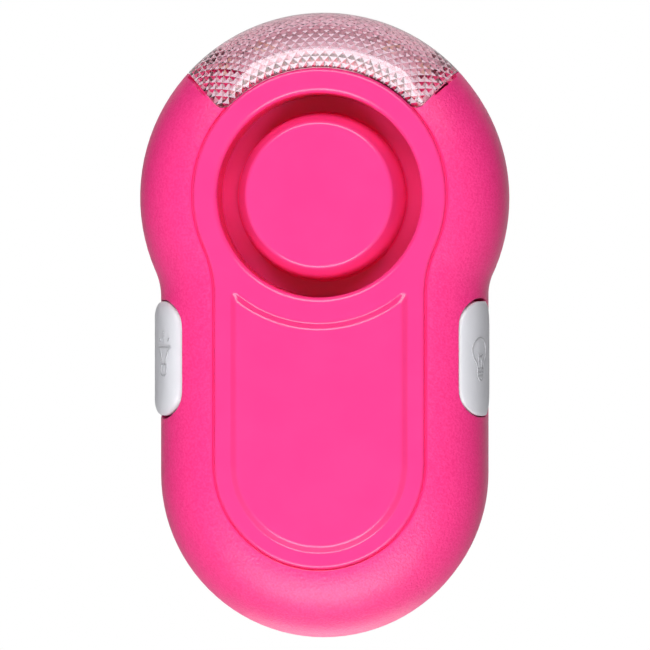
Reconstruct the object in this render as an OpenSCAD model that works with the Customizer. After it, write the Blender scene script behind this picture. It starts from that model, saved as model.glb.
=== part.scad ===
// Personal safety alarm with a sprung clip: keyhole-shaped case, round sounder, top light, two side buttons.
// Case axes: x to the right, y up the case, z out of the front. z = 0 is the parting plane of the
// two shells and y = 0 the centre of the round foot. place() stands the case up with its front to -Y
// and puts the origin in the middle of the strap gap under the clip.

/* [Case] */
// Height of the case
case_h = 80; // [78:0.5:86]
// Width of the round head outside the piezo plate
ring_w = 10.1; // [9.8:0.1:11]
// Width of the lower body
body_w = 41.8; // [41:0.2:44]
// Fillet where the head's outline meets the straight sides
neck_r = 8; // [6:0.5:12]
// Radius of the rounded rim, front and back
rim_r = 9; // [8.6:0.1:9.4]
// Straight side wall in front of the parting plane
front_wall = 4; // [3.6:0.1:5]
// Straight side wall behind the parting plane
rear_wall = 2.4; // [2.3:0.1:4]
// Wall thickness of the shells
wall = 2; // [1.6:0.1:2.2]
// Gap between moulded parts
fit_gap = 0.15; // [0.1:0.01:0.2]

/* [Front face] */
// Distance of the raised plateau from the outline
plateau_inset = 7.56; // [7:0.05:8]
// Height of the plateau step
plateau_h = 0.4; // [0.2:0.05:0.8]
// How far the plateau's round end lies above the centre of the foot
plateau_lift = 1.79; // [0:0.05:3]
// Fillet where the plateau's head meets its straight sides
plateau_neck_r = 15; // [8:0.5:20]
// Distance of the label panel from the plateau's edge
panel_inset = 2.03; // [1.5:0.05:3]
// Height of the label panel
panel_h = 0.7; // [0.4:0.05:1]
// Width of the bevel round the label panel
panel_bevel = 1; // [0.6:0.05:1.4]

/* [Sounder] */
// How far the groove's wall stands inside the piezo plate's edge
groove_lip = 0.57; // [0.3:0.01:0.9]
// Width of the ring groove at the front
groove_w = 3.8; // [3.4:0.05:4.4]
// Depth of the ring groove below the plateau
groove_depth = 7.6; // [6.8:0.1:7.8]
// Draft of the boss, how much wider it is at its foot
boss_draft = 1.35; // [0.8:0.05:1.5]
// Height of the boss above the plateau
boss_lift = 0.3; // [0:0.05:0.8]
// Rounding of the boss's top edge
boss_round = 0.6; // [0.3:0.05:1]
// Angle of each of the two sound ports
port_angle = 100; // [60:5:130]
// Height of the sound ports, low in the wall of the boss
port_h = 1; // [0.6:0.1:1.5]
// Diameter of the piezo plate
plate_d = 27; // [26:0.1:27.2]
// Thickness of the piezo plate
plate_t = 0.3; // [0.2:0.02:0.4]
// Diameter of the ceramic disc
ceramic_d = 20; // [18:0.5:21]
// Thickness of the ceramic disc
ceramic_t = 0.22; // [0.16:0.02:0.26]

/* [Light] */
// Half angle of the lens, from the top of the head
lens_angle = 48; // [44:1:50]
// Wall thickness of the lens
lens_t = 2; // [1.6:0.1:2.2]
// Angle of each lamp from the top of the head
lamp_angle = 30; // [20:1:34]
// Width of a lamp
lamp_w = 3.5; // [3:0.1:4]
// Depth of a lamp, along the radius
lamp_d = 2.8; // [2.4:0.1:3]
// Height of a lamp
lamp_h = 1.9; // [1.4:0.1:2.2]

/* [Buttons] */
// Length of a button, up the case
button_l = 14.6; // [12:0.1:15]
// Height of a button, from back to front
button_h = 8.3; // [7:0.1:8.4]
// Corner radius of a button
button_corner = 3; // [2.5:0.1:4]
// Distance of the buttons' middle below the centre of the head
button_drop = 20.67; // [20:0.1:22.5]
// Middle of the buttons in front of the parting plane
button_z = 6.65; // [6.4:0.05:6.8]
// How far the alarm button stands out of the case
alarm_proud = 0.8; // [0.6:0.05:0.9]
// How far the light button stands out of the case
light_proud = 0.35; // [0.35:0.05:0.6]
// Travel of a button
button_travel = 0.35; // [0.2:0.05:0.4]

/* [Batteries] */
// Diameter of a cell
cell_d = 10.5; // [10.3:0.1:10.6]
// Length of a cell with its button end
cell_l = 44.5; // [44:0.1:44.6]
// Room at each end of a cell
cell_end = 1.95; // [1.7:0.05:2]
// Thickness of the bay's walls
bay_wall = 1; // [0.8:0.05:1.1]
// Thickness of the contact plates
contact_t = 0.3; // [0.2:0.02:0.4]
// Wire of the contact springs
contact_wire = 0.4; // [0.3:0.02:0.44]
// Thickness of the battery door
door_t = 1.45; // [1.3:0.05:1.5]

/* [Clip] */
// Gap between the case and the clip lever
strap_gap = 5.6; // [5.5:0.1:6.5]
// Thickness of the lever
lever_t = 2; // [1.6:0.1:2.6]
// Width of the lever
lever_w = 12.4; // [12:0.1:14]
// Height of the pin above the centre of the foot
pin_y = 40.3; // [40.2:0.1:41]
// Distance of the pin from the back of the case
pin_u = 3.3; // [3.2:0.05:3.4]
// Diameter of the pin
pin_d = 2; // [1.8:0.1:2.2]
// Running clearance of the lever on its pin, on the radius
pin_clear = 0.05; // [0.03:0.01:0.08]
// Length of the lever from the pin down to the jaw
lever_reach = 43.3; // [42:0.1:44]
// Length of the lever above the pin
thumb_l = 13.5; // [11:0.5:14]
// Corner radius of the lever
lever_corner = 3; // [1:0.1:4]
// Wire of the clip spring
clip_wire = 0.6; // [0.5:0.05:0.65]

/* [Parts] */
// Part that is drawn

/* [Hidden] */
$fn = 96;
head_r = plate_d / 2 + ring_w;
body_r = body_w / 2;
head_y = case_h - head_r - body_r;
seam = 0.02;
over = 1;
far = 100;
rim_edge = 1;
rim_rise = sqrt(rim_r * rim_r - rim_edge * rim_edge);
flat_z = front_wall + rim_rise;
back_z = -rear_wall - rim_rise;
body_overlap = 5;
body_top = head_y - body_overlap;

plateau_z = flat_z + plateau_h;
plateau_head_r = head_r - plateau_inset;
plateau_body_r = body_r - plateau_inset;
panel_r = plateau_body_r - panel_inset;
panel_z = plateau_z + panel_h;
panel_gap = 0.06;
panel_head_r = plateau_head_r + panel_gap;
panel_top_r = panel_head_r + panel_bevel;

groove_r = plate_d / 2 - groove_lip;
boss_r = groove_r - groove_w;
groove_z = plateau_z - groove_depth;
cap_floor = 1.3;
cap_z = groove_z - cap_floor;
boss_z = plateau_z + boss_lift;
boss_foot_r = boss_r + boss_draft;
boss_skin = 1.5;
port_sill = 0.3;
cap_lip = 0.35;
cap_r = plate_d / 2 + cap_lip;
seat_r = cap_r + fit_gap;
barrel_wall = 1.4;
barrel_r = seat_r + barrel_wall;
gasket_t = 1.5;
gasket_w = 1.3;
gasket_in = plate_d / 2 - gasket_w;
plate_z = cap_z - gasket_t - plate_t;
ceramic_z = plate_z - ceramic_t;
barrel_lip = 0.25;
barrel_z = ceramic_z - barrel_lip;

lens_ledge = 0.3;
lens_in_r = max(plateau_head_r, barrel_r + lens_ledge) + panel_gap;
lens_gap = fit_gap;
skirt_t = 1.1;
skirt_low = 6;
tray_gap = 0.4;
tray_in = lens_in_r + tray_gap;
tray_out = head_r - max(wall, lens_t) - tray_gap;
tray_lip_t = 0.7;
window_gap = 0.15;
lamp_r = (tray_in + tray_out) / 2;
tray_end_angle = 4;
tray_half = lens_angle - tray_end_angle;
led_half = tray_half - tray_end_angle;
led_gap = 0.1;
led_z = 0.5;
led_t = 1;
tray_z = led_z + led_t;
tray_t = 0.8;
tray_lip = 2.4;
post_angle = lamp_angle / 2;
post_r = 1.2;

board_half = 12.6;
board_gap = 0.6;
board_top = head_y - barrel_r - board_gap;
board_low = -9;
board_t = 1;
board_air = 1.5;
board_front = flat_z - wall - board_air;
board_back = board_front - board_t;
stand_r = 1.7;
stand_x = 7.5;
stand_edge = 3.2;
stand_ys = [board_low + stand_edge, board_top - stand_edge];
board_hole_r = 0.8;
board_screw_r = 0.57;
board_screw_head_r = 1.4;
board_screw_head_h = 0.9;
board_screw_bite = 2;
board_screw_len = board_t + board_screw_bite;
stand_pilot_r = 0.6;
stand_pilot_end = 0.4;
stand_pilot_l = board_screw_bite + stand_pilot_end;
chip_size = [4, 5, 1.5];
chip_at = [-7, -4];
transistor_size = [3, 1.6, 1.1];
transistor_at = [2, -5];
capacitor_r = 2;
capacitor_h = 5;
capacitor_at = [4, 0];
coil_at = [-3, 8];
coil_h = 4.6;
coil_flange = 0.8;
coil_out = 4;
coil_neck = 1.8;
winding_edge = 0.4;
winding_out = coil_out - winding_edge;

switch_l = 6;
switch_w = 3.6;
switch_h = 2 * (board_back - button_z);
switch_over = 1.2;
switch_out = board_half + switch_over;
stem_r = 1;
stem_clear = 0.06;
stem_hold = 0.6;
stem_spare = 0.1;
stem_depth = button_travel + stem_hold + stem_spare;
stem_out = 1.5;
stem_tip = switch_out + stem_out;
touch = 0.05;
flange_grow = 0.8;
flange_t = 0.9;
button_y = head_y - button_drop;
button_root = switch_out + stem_out / 2;
pusher_r = 1.5;

cell_r = cell_d / 2;
jacket_t = 0.1;
cell_gap = 0.15;
cell_space = 0.25;
cell_x = cell_r + cell_space;
bay_side = 0.35;
bay_half = cell_x + cell_r + bay_side;
bay_foot = 7.5;
bay_low = bay_foot - body_r;
bay_high = bay_low + cell_l + 2 * cell_end;
cell_low = bay_low + cell_end;
door_in = back_z + door_t;
cell_z = door_in + cell_gap + cell_r;
bay_roof = cell_z + cell_r + cell_gap;
roof_t = 1.1;
roof_z = bay_roof + roof_t;
roof_room = 0.3;
door_lean = 1.4;
door_out_half = bay_half + bay_side;
door_end_gap = 0.2;
door_top = bay_high - door_end_gap;
door_lip = 1.2;
door_lip_z = cell_z + door_lip;
cell_button_r = 1.9;
cell_button_h = 0.8;
jacket_end = 0.3;
contact_half = 4;
bump_h = cell_end - contact_t - touch;
bump_foot_r = 2.4;
bump_top_r = 1.4;
rib_half = 5;
rib_t = 0.6;
rib_h = 0.35;
rib_pitch = 1.4;
rib_count = 4;
rib_low = bay_low + rib_pitch;

wire_sides = 6;
curl_step = 45;
curl_apart = 6;
spring_steps = 20;
spring_wide = 3.7;
spring_narrow = 1.7;
spring_rise = cell_end - contact_t - contact_wire - 2 * touch;

screw_r = 0.8;
screw_pilot = 0.82;
screw_hole = 1.1;
screw_head_r = 1.9;
screw_head_h = 1.3;
cross_l = 2.4;
cross_w = 0.5;
cross_deep = 0.6;
screw_seat = -4;
screw_len = 10;
screw_spare = 0.5;
screw_head_gap = 0.2;
boss_post_r = 2.3;
post_room = 1;
screw_edge = wall + boss_post_r + post_room;
screw_low = [body_r - screw_edge, -2];
screw_up = 4.5;
screw_span = head_r - wall - boss_post_r - post_room;
screw_high = [sqrt(screw_span * screw_span - screw_up * screw_up), screw_up];
boss_wall = 0.7;

ear_t = 2;
side_play = 0.2;
lug_t = 2.2;
lug_gap = 0.7;
lug_r = pin_u - lug_gap;
lug_step = 0.35;
lug_foot = 0.8;
ear_foot = 1.2;
ear_in = lever_w / 2 + side_play;
tip_y = pin_y - lever_reach;
tip_gap = 0.3;
jaw_w = 1.8;
jaw_slope = 2.7;
jaw_back = 4;
jaw_nose = 0.8;
jaw_lead = 2.5;
thumb_bend = 8;
thumb_flare = 0.9;
coil_room = 1.8;
coil_half = lever_w / 2 - lug_t - coil_room;
coil_gap = 0.45;
coil_r = pin_d / 2 + clip_wire / 2 + coil_gap;
coil_turns = 3.5;
coil_steps = coil_turns * 360 / curl_step;
leg_l = 11;
leg_bow = 0.4;
strap_y = (pin_y + tip_y) / 2;

pink = [1, 0.06, 0.31];
white = [0.85, 0.85, 0.88];
clear = [0.9, 0.85, 0.87, 0.6];
steel = [0.6, 0.6, 0.62];
brass = [0.75, 0.55, 0.2];
board_green = [0.05, 0.3, 0.12];
dark = [0.05, 0.05, 0.05];

// Stands the case up and puts the origin in the strap gap
module place() {
  rotate([90, 0, 0]) translate([0, -strap_y, -back_z + strap_gap / 2]) children();
}

// Half cross-section of a rounded shell: x from the spine, y from the parting plane
module half_section(r, side, radius, depth) {
  intersection() {
    square([r, depth]);
    union() {
      square([r + over, side]);
      translate([r - radius + seam, side]) circle(radius);
      square([r - radius, depth]);
    }
  }
}

module case_section(inset, side) {
  half_section(body_r - inset, side, rim_r - inset, side + rim_rise - inset);
}

// Section of the room outside the filleted neck: x from the middle of the fillet
module neck_room(fillet, side, radius, depth) {
  difference() {
    translate([0, -over]) square([fillet + radius, depth + 2 * over]);
    translate([fillet + radius + seam, 0]) mirror([1, 0]) union() {
      translate([0, -2 * over]) square([radius, side + 2 * over]);
      intersection() {
        translate([0, side - over]) square([radius + over, depth - side + over]);
        translate([-seam, side]) circle(radius + seam);
      }
    }
  }
}

// Fills the corner between the head and the straight sides with a fillet
module neck(inset, side) {
  head = head_r - inset;
  half = body_r - inset;
  fillet = neck_r + inset;
  drop = sqrt((head - half) * (head + half + 2 * fillet));
  depth = side + rim_rise - inset;
  difference() {
    translate([0, head_y]) linear_extrude(depth)
      polygon([[0, 0], [half + fillet, -drop], [-half - fillet, -drop]]);
    for (s = [-1, 1]) translate([s * (half + fillet), head_y - drop]) rotate_extrude()
      neck_room(fillet, side, rim_r - inset, depth);
  }
}

// Solid form of one half of the case, made smaller all round by inset
module half_case(inset, side) {
  translate([0, head_y]) rotate_extrude()
    half_section(head_r - inset, side, rim_r - inset, side + rim_rise - inset);
  neck(inset, side);
  rotate_extrude(angle = 180, start = 180) case_section(inset, side);
  translate([0, body_top]) rotate([90, 0, 0]) linear_extrude(body_top) {
    case_section(inset, side);
    mirror([1, 0]) case_section(inset, side);
  }
}

module rear_half(inset) {
  mirror([0, 0, 1]) half_case(inset, rear_wall);
}

// Outline of the lower body with its round foot
module foot_outline(r, top) {
  circle(r);
  translate([-r, 0]) square([2 * r, top]);
}

// Outline of the plateau: round head, straight sides, round foot, filleted neck
module plateau_outline(hr, br, neck) {
  drop = sqrt((hr - br) * (hr + br + 2 * neck));
  neck_y = head_y - drop;
  translate([0, head_y]) circle(hr);
  translate([0, plateau_lift]) foot_outline(br, head_y - plateau_lift);
  difference() {
    polygon([[0, head_y], [br + neck, neck_y], [-br - neck, neck_y]]);
    for (s = [-1, 1]) translate([s * (br + neck), neck_y]) circle(neck - seam);
  }
}

// Raised label panel with a bevel all round
module panel() {
  panel_side = [[0, -over], [panel_r, -over], [panel_r, 0], [panel_r - panel_bevel, panel_h], [0, panel_h]];
  difference() {
    translate([0, plateau_lift, plateau_z]) {
      rotate_extrude(angle = 180, start = 180) polygon(panel_side);
      translate([0, head_y - plateau_lift]) rotate([90, 0, 0]) linear_extrude(head_y - plateau_lift) {
        polygon(panel_side);
        mirror([1, 0]) polygon(panel_side);
      }
    }
    translate([0, head_y, plateau_z - over]) cylinder(h = over + seam, r = panel_head_r);
    translate([0, head_y, plateau_z]) cylinder(h = panel_h, r1 = panel_head_r, r2 = panel_top_r);
    translate([0, head_y, panel_z - seam]) cylinder(h = over, r = panel_top_r);
  }
}

// Pie wedge about the head's centre, pointing up the case
module wedge(half) {
  polygon([[0, 0], [-far * sin(half), far * cos(half)], [0, far], [far * sin(half), far * cos(half)]]);
}

module ring_sector(r1, r2, half) {
  intersection() {
    difference() {
      circle(r2);
      circle(r1);
    }
    wedge(half);
  }
}

// Puts children round the head's centre at an angle from the top
module around_head(angle, r) {
  translate([0, head_y]) rotate(-angle) translate([0, r]) children();
}

// Extrudes a shape drawn in y and z along x
module along_x(x0, x1) {
  translate([x0, 0, 0]) rotate([90, 0, 90]) linear_extrude(x1 - x0) children();
}

module rounded_rect(w, h, r) {
  square([w - 2 * r, h], center = true);
  square([w, h - 2 * r], center = true);
  for (x = [-1, 1], y = [-1, 1]) translate([x * (w / 2 - r), y * (h / 2 - r)]) circle(r);
}

// Prism through the right-hand side wall with the outline of a button
module button_prism(grow, x0) {
  along_x(x0, body_r + over) translate([button_y, button_z])
    rounded_rect(button_l + 2 * grow, button_h + 2 * grow, button_corner + grow);
}

module screw_places() {
  for (s = [-1, 1]) {
    translate([s * screw_low[0], screw_low[1]]) children();
    translate([s * screw_high[0], head_y + screw_high[1]]) children();
  }
}

module stand_places() {
  for (s = [-1, 1], y = stand_ys) translate([s * stand_x, y]) children();
}

// Tube swept along a row of points; up is a direction the tube never runs along
function tangent(p, i) =
  let (d = p[min(i + 1, len(p) - 1)] - p[max(i - 1, 0)]) d / norm(d);
function tube_points(p, r, sides, up) = [
  for (i = [0:len(p) - 1])
    let (t = tangent(p, i), a = cross(t, up) / norm(cross(t, up)), b = cross(t, a))
      for (k = [0:sides - 1]) p[i] + r * (cos(360 * k / sides) * a + sin(360 * k / sides) * b)];
function tube_faces(n, sides) = concat(
  [[for (k = [0:sides - 1]) k]],
  [for (i = [0:n - 2], k = [0:sides - 1])
    [i * sides + k, (i + 1) * sides + k, (i + 1) * sides + (k + 1) % sides, i * sides + (k + 1) % sides]],
  [[for (k = [sides - 1:-1:0]) (n - 1) * sides + k]]);
module tube(p, r, sides, up) {
  polyhedron(tube_points(p, r, sides, up), tube_faces(len(p), sides), convexity = 6);
}
// Smallest gap between one curl and the next
function self_gap(p, step, wire) =
  min([for (i = [0:len(p) - 1 - step], j = [i + step:len(p) - 1]) norm(p[i] - p[j])]) - wire;

module front_shell() {
  color(pink) difference() {
    union() {
      difference() {
        half_case(0, front_wall);
        half_case(wall, front_wall);
      }
      translate([0, 0, flat_z - wall / 2]) linear_extrude(wall / 2 + plateau_h)
        plateau_outline(plateau_head_r, plateau_body_r, plateau_neck_r);
      panel();
      translate([0, head_y, barrel_z]) cylinder(h = flat_z - wall / 2 - barrel_z, r = barrel_r);
      screw_places() cylinder(h = flat_z - wall - over, r = boss_post_r);
      stand_places() translate([0, 0, board_front])
        cylinder(h = flat_z - wall / 2 - board_front, r = stand_r);
    }
    translate([0, head_y, groove_z - over]) cylinder(h = groove_depth + 2 * over, r = groove_r);
    translate([0, head_y, barrel_z - over]) cylinder(h = groove_z - barrel_z + over, r = seat_r);
    translate([0, head_y, -over]) linear_extrude(plateau_z + 2 * over)
      ring_sector(lens_in_r, head_r + over, lens_angle);
    for (s = [0, 1]) mirror([s, 0, 0]) button_prism(fit_gap, button_root - button_travel - fit_gap);
    screw_places() translate([0, 0, -over])
      cylinder(h = screw_len + screw_seat + over + screw_spare, r = screw_pilot);
    stand_places() translate([0, 0, board_front - over])
      cylinder(h = over + stand_pilot_l, r = stand_pilot_r);
  }
}

// Room for the battery door, larger by gap on all sides
module door_room(gap) {
  lean = door_lean / door_t;
  flat_side = [[0, back_z - over], [door_out_half - door_lean + gap - over * lean, back_z - over],
    [door_out_half + gap, door_in], [door_out_half + gap, door_in + gap], [0, door_in + gap]];
  translate([0, door_top + gap]) rotate([90, 0, 0]) linear_extrude(door_top + gap + body_r + over) {
    polygon(flat_side);
    mirror([1, 0]) polygon(flat_side);
  }
  foot_half = door_out_half - door_lean + gap;
  foot_end = body_r + over + bay_low - bay_wall - bay_side;
  translate([-foot_half, -body_r - over, back_z - over])
    cube([2 * foot_half, foot_end + gap, door_lip_z + gap - back_z + over]);
}

module clip_ear() {
  along_x(ear_in, ear_in + ear_t) union() {
    translate([pin_y, pin_u]) circle(lug_r);
    polygon([[pin_y - lug_r - ear_foot, -over], [pin_y + lug_r + ear_foot, -over],
      [pin_y + lug_r - lug_step, pin_u], [pin_y - lug_r + lug_step, pin_u]]);
  }
}

// Draws children on the back of the case, z pointing out of the back
module on_back() {
  translate([0, 0, back_z]) mirror([0, 0, 1]) children();
}

module pin_bore(r, half) {
  translate([-half, pin_y, pin_u]) rotate([0, 90, 0]) cylinder(h = 2 * half, r = r);
}

module rear_shell() {
  color(pink) difference() {
    union() {
      difference() {
        rear_half(0);
        rear_half(wall);
      }
      intersection() {
        rear_half(wall / 2);
        translate([-bay_half - bay_wall, bay_low - bay_wall, back_z])
          cube([2 * (bay_half + bay_wall), bay_high - bay_low + 2 * bay_wall, -back_z]);
      }
      translate([0, 0, -seam]) linear_extrude(roof_z + seam) intersection() {
        foot_outline(body_r - wall - roof_room, far);
        translate([-bay_half - bay_wall, bay_low - bay_wall])
          square([2 * (bay_half + bay_wall), bay_high - bay_low + 2 * bay_wall]);
      }
      intersection() {
        rear_half(wall / 2);
        screw_places() translate([0, 0, back_z]) cylinder(h = -back_z, r = boss_post_r + boss_wall);
      }
      for (s = [-1, 1]) around_head(s * post_angle, lamp_r) translate([0, 0, back_z + wall])
        cylinder(h = led_z - back_z - wall, r = post_r);
      on_back() for (s = [0, 1]) mirror([s, 0, 0]) clip_ear();
    }
    translate([-bay_half, bay_low, back_z - over])
      cube([2 * bay_half, bay_high - bay_low, bay_roof - back_z + over]);
    door_room(fit_gap);
    screw_places() translate([0, 0, back_z - over]) cylinder(h = far, r = screw_hole);
    screw_places() translate([0, 0, back_z - over])
      cylinder(h = screw_seat - back_z + over, r = screw_head_r + screw_head_gap);
    on_back() pin_bore(pin_d / 2 + seam, ear_in + ear_t + over);
  }
}

module battery_door() {
  color(pink) {
    intersection() {
      difference() {
        rear_half(0);
        rear_half(door_t);
      }
      door_room(0);
    }
    for (k = [0:rib_count - 1]) translate([-rib_half, rib_low + k * rib_pitch, back_z - rib_h])
      cube([2 * rib_half, rib_t, rib_h + door_t / 2]);
  }
}

module light_lens() {
  color(clear) intersection() {
    union() {
      difference() {
        half_case(0, front_wall);
        half_case(lens_t, front_wall);
      }
      translate([0, head_y, skirt_low]) difference() {
        cylinder(h = flat_z - lens_t / 2 - skirt_low, r = lens_in_r + lens_gap + skirt_t);
        cylinder(h = far, r = lens_in_r + lens_gap / 2);
      }
    }
    translate([0, head_y, 0]) linear_extrude(flat_z + over) difference() {
      ring_sector(lens_in_r + lens_gap, head_r + over, lens_angle);
      for (s = [-1, 1]) rotate(-s * lens_angle) translate([-lens_gap, 0]) square([2 * lens_gap, far]);
    }
  }
}

module light_tray() {
  color(white) difference() {
    translate([0, head_y, tray_z]) {
      linear_extrude(tray_t) ring_sector(tray_in, tray_out, tray_half);
      linear_extrude(tray_lip) ring_sector(tray_in, tray_in + tray_lip_t, tray_half);
      linear_extrude(tray_lip) ring_sector(tray_out - tray_lip_t, tray_out, tray_half);
    }
    for (s = [-1, 1]) around_head(s * lamp_angle, lamp_r)
      translate([0, 0, tray_z]) cube([lamp_w + 2 * window_gap, lamp_d + 2 * window_gap, far], center = true);
  }
}

module led_board() {
  color(white) translate([0, head_y, led_z]) linear_extrude(led_t)
    ring_sector(tray_in + led_gap, tray_out - led_gap, led_half);
}

module led_lamps() {
  color([0.95, 0.85, 0.25]) for (s = [-1, 1]) around_head(s * lamp_angle, lamp_r)
    translate([-lamp_w / 2, -lamp_d / 2, led_z + led_t]) cube([lamp_w, lamp_d, lamp_h]);
}

module sounder_cap() {
  steps = 4;
  edge = [for (k = [0:steps]) [boss_r - boss_round + boss_round * cos(k * 90 / steps),
    boss_z - boss_round + boss_round * sin(k * 90 / steps)]];
  color(pink) translate([0, head_y]) difference() {
    rotate_extrude() polygon(concat([[0, cap_z], [cap_r, cap_z], [cap_r, groove_z], [boss_foot_r, groove_z]],
      edge, [[0, boss_z]]));
    translate([0, 0, cap_z - over]) cylinder(h = groove_z - cap_z + over, r = boss_foot_r - boss_skin);
    translate([0, 0, groove_z - seam]) cylinder(h = boss_z - boss_skin - groove_z + seam,
      r1 = boss_foot_r - boss_skin, r2 = boss_r - boss_skin);
    for (turn = [0, 180]) rotate(turn) translate([0, 0, groove_z + port_sill])
      rotate_extrude(angle = port_angle, start = 90 - port_angle / 2)
        translate([boss_foot_r - boss_skin - over, 0]) square([boss_skin + 2 * over, port_h]);
  }
}

module sounder_gasket() {
  color(dark) translate([0, head_y, cap_z - gasket_t]) difference() {
    cylinder(h = gasket_t, r = plate_d / 2);
    translate([0, 0, -over]) cylinder(h = gasket_t + 2 * over, r = gasket_in);
  }
}

module piezo_plate() {
  color(brass) translate([0, head_y, plate_z]) cylinder(h = plate_t, r = plate_d / 2);
}

module piezo_ceramic() {
  color(white) translate([0, head_y, ceramic_z]) cylinder(h = ceramic_t, r = ceramic_d / 2);
}

// Right-hand button: face, flange behind the wall, pusher
module side_button(proud) {
  pusher_out = body_r - wall - flange_t;
  color(white) {
    intersection() {
      translate([0, head_y]) rotate([90, 0, 0]) linear_extrude(head_y) difference() {
        case_section(-proud, front_wall);
        case_section(wall + fit_gap + flange_t / 2, front_wall);
      }
      button_prism(0, button_root);
    }
    intersection() {
      translate([0, head_y]) rotate([90, 0, 0]) linear_extrude(head_y) difference() {
        case_section(wall + fit_gap, front_wall);
        case_section(wall + fit_gap + flange_t, front_wall);
      }
      button_prism(flange_grow, button_root);
    }
    translate([stem_tip + touch, button_y, button_z]) rotate([0, 90, 0])
      cylinder(h = pusher_out - stem_tip - touch, r = pusher_r);
  }
}

module light_button() {
  side_button(light_proud);
}

module alarm_button() {
  mirror([1, 0, 0]) side_button(alarm_proud);
}

module main_board() {
  color(board_green) translate([0, 0, board_back]) difference() {
    translate([-board_half, board_low]) cube([2 * board_half, board_top - board_low, board_t]);
    stand_places() translate([0, 0, -over]) cylinder(h = board_t + 2 * over, r = board_hole_r);
  }
}

module controller_chip() {
  color(dark) translate([chip_at[0], chip_at[1], board_back - chip_size[2]]) cube(chip_size);
}

module drive_transistor() {
  color(dark) translate([transistor_at[0], transistor_at[1], board_back - transistor_size[2]])
    cube(transistor_size);
}

module capacitor() {
  color(steel) translate([capacitor_at[0], capacitor_at[1], board_back - capacitor_h])
    cylinder(h = capacitor_h, r = capacitor_r);
}

module coil_core() {
  color(dark) translate([coil_at[0], coil_at[1], board_back - coil_h]) rotate_extrude()
    polygon([[0, 0], [coil_out, 0], [coil_out, coil_flange], [coil_neck, coil_flange],
      [coil_neck, coil_h - coil_flange], [coil_out, coil_h - coil_flange], [coil_out, coil_h], [0, coil_h]]);
}

module coil_winding() {
  winding_z = board_back - coil_h + coil_flange;
  color([0.7, 0.3, 0.12]) translate([coil_at[0], coil_at[1], winding_z]) difference() {
    cylinder(h = coil_h - 2 * coil_flange, r = winding_out);
    translate([0, 0, -over]) cylinder(h = coil_h, r = coil_neck + seam);
  }
}

// Right-hand switch body with a bore for its stem
module side_switch() {
  color(dark) difference() {
    translate([switch_out - switch_w, button_y - switch_l / 2, board_back - switch_h])
      cube([switch_w, switch_l, switch_h]);
    translate([switch_out - stem_depth, button_y, button_z]) rotate([0, 90, 0])
      cylinder(h = stem_depth + over, r = stem_r + stem_clear);
  }
}

module light_switch() {
  side_switch();
}

module alarm_switch() {
  mirror([1, 0, 0]) side_switch();
}

module side_stem() {
  stem_in = switch_out - stem_hold;
  color([0.9, 0.9, 0.85]) translate([stem_in, button_y, button_z]) rotate([0, 90, 0])
    cylinder(h = stem_tip - stem_in, r = stem_r);
}

module light_stem() {
  side_stem();
}

module alarm_stem() {
  mirror([1, 0, 0]) side_stem();
}

module board_screws() {
  color(steel) stand_places() translate([0, 0, board_back]) {
    translate([0, 0, -board_screw_head_h]) cylinder(h = board_screw_head_h, r = board_screw_head_r);
    translate([0, 0, -seam]) cylinder(h = board_screw_len + seam, r = board_screw_r);
  }
}

module case_screws() {
  color(steel) screw_places() difference() {
    translate([0, 0, screw_seat]) {
      translate([0, 0, -screw_head_h]) cylinder(h = screw_head_h, r = screw_head_r);
      translate([0, 0, -seam]) cylinder(h = screw_len + seam, r = screw_r);
    }
    for (turn = [0, 90]) rotate(turn)
      translate([-cross_l / 2, -cross_w / 2, screw_seat - screw_head_h - over])
        cube([cross_l, cross_w, over + cross_deep]);
  }
}

// Puts children at each cell's lower end with z up the case; the left cell's button end is up
module cell_places() {
  translate([-cell_x, cell_low, cell_z]) rotate([-90, 0, 0]) children();
  translate([cell_x, cell_low + cell_l, cell_z]) rotate([90, 0, 0]) children();
}

module battery_cells() {
  color(steel) cell_places() {
    cylinder(h = cell_l - cell_button_h, r = cell_r - jacket_t - seam);
    cylinder(h = cell_l, r = cell_button_r);
  }
}

module battery_jackets() {
  color([0.12, 0.13, 0.16]) cell_places() translate([0, 0, jacket_end]) difference() {
    cylinder(h = cell_l - cell_button_h - 2 * jacket_end, r = cell_r);
    translate([0, 0, -over]) cylinder(h = cell_l + 2 * over, r = cell_r - jacket_t);
  }
}

// Contact for a cell's button end: up is -1 when it points up the case and 1 when it points down
module contact_bump(up) {
  rotate([up * 90, 0, 0]) cylinder(h = contact_t + bump_h, r1 = bump_foot_r, r2 = bump_top_r);
}

module bridge_plate() {
  color(steel) {
    translate([-cell_x - contact_half, bay_low, cell_z - contact_half])
      cube([2 * (cell_x + contact_half), contact_t, 2 * contact_half]);
    translate([cell_x, bay_low, cell_z]) contact_bump(-1);
  }
}

module positive_plate() {
  color(steel) {
    translate([-cell_x - contact_half, bay_high - contact_t, cell_z - contact_half])
      cube([2 * contact_half, contact_t, 2 * contact_half]);
    translate([-cell_x, bay_high, cell_z]) contact_bump(1);
  }
}

module negative_plate() {
  color(steel) translate([cell_x - contact_half, bay_high - contact_t, cell_z - contact_half])
    cube([2 * contact_half, contact_t, 2 * contact_half]);
}

// Conical spring between a contact plate and the flat end of a cell
spring_path = [for (i = [0:spring_steps])
  let (a = curl_step * i, r = spring_wide - (spring_wide - spring_narrow) * i / spring_steps)
    [r * cos(a), r * sin(a), contact_wire / 2 + touch + spring_rise * i / spring_steps]];
echo(contact_spring_gap = self_gap(spring_path, curl_apart, contact_wire));
module contact_springs() {
  color(steel) {
    translate([-cell_x, bay_low + contact_t, cell_z]) rotate([-90, 0, 0])
      tube(spring_path, contact_wire / 2, wire_sides, [0, 0, 1]);
    translate([cell_x, bay_high - contact_t, cell_z]) rotate([90, 0, 0])
      tube(spring_path, contact_wire / 2, wire_sides, [0, 0, 1]);
  }
}

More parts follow.
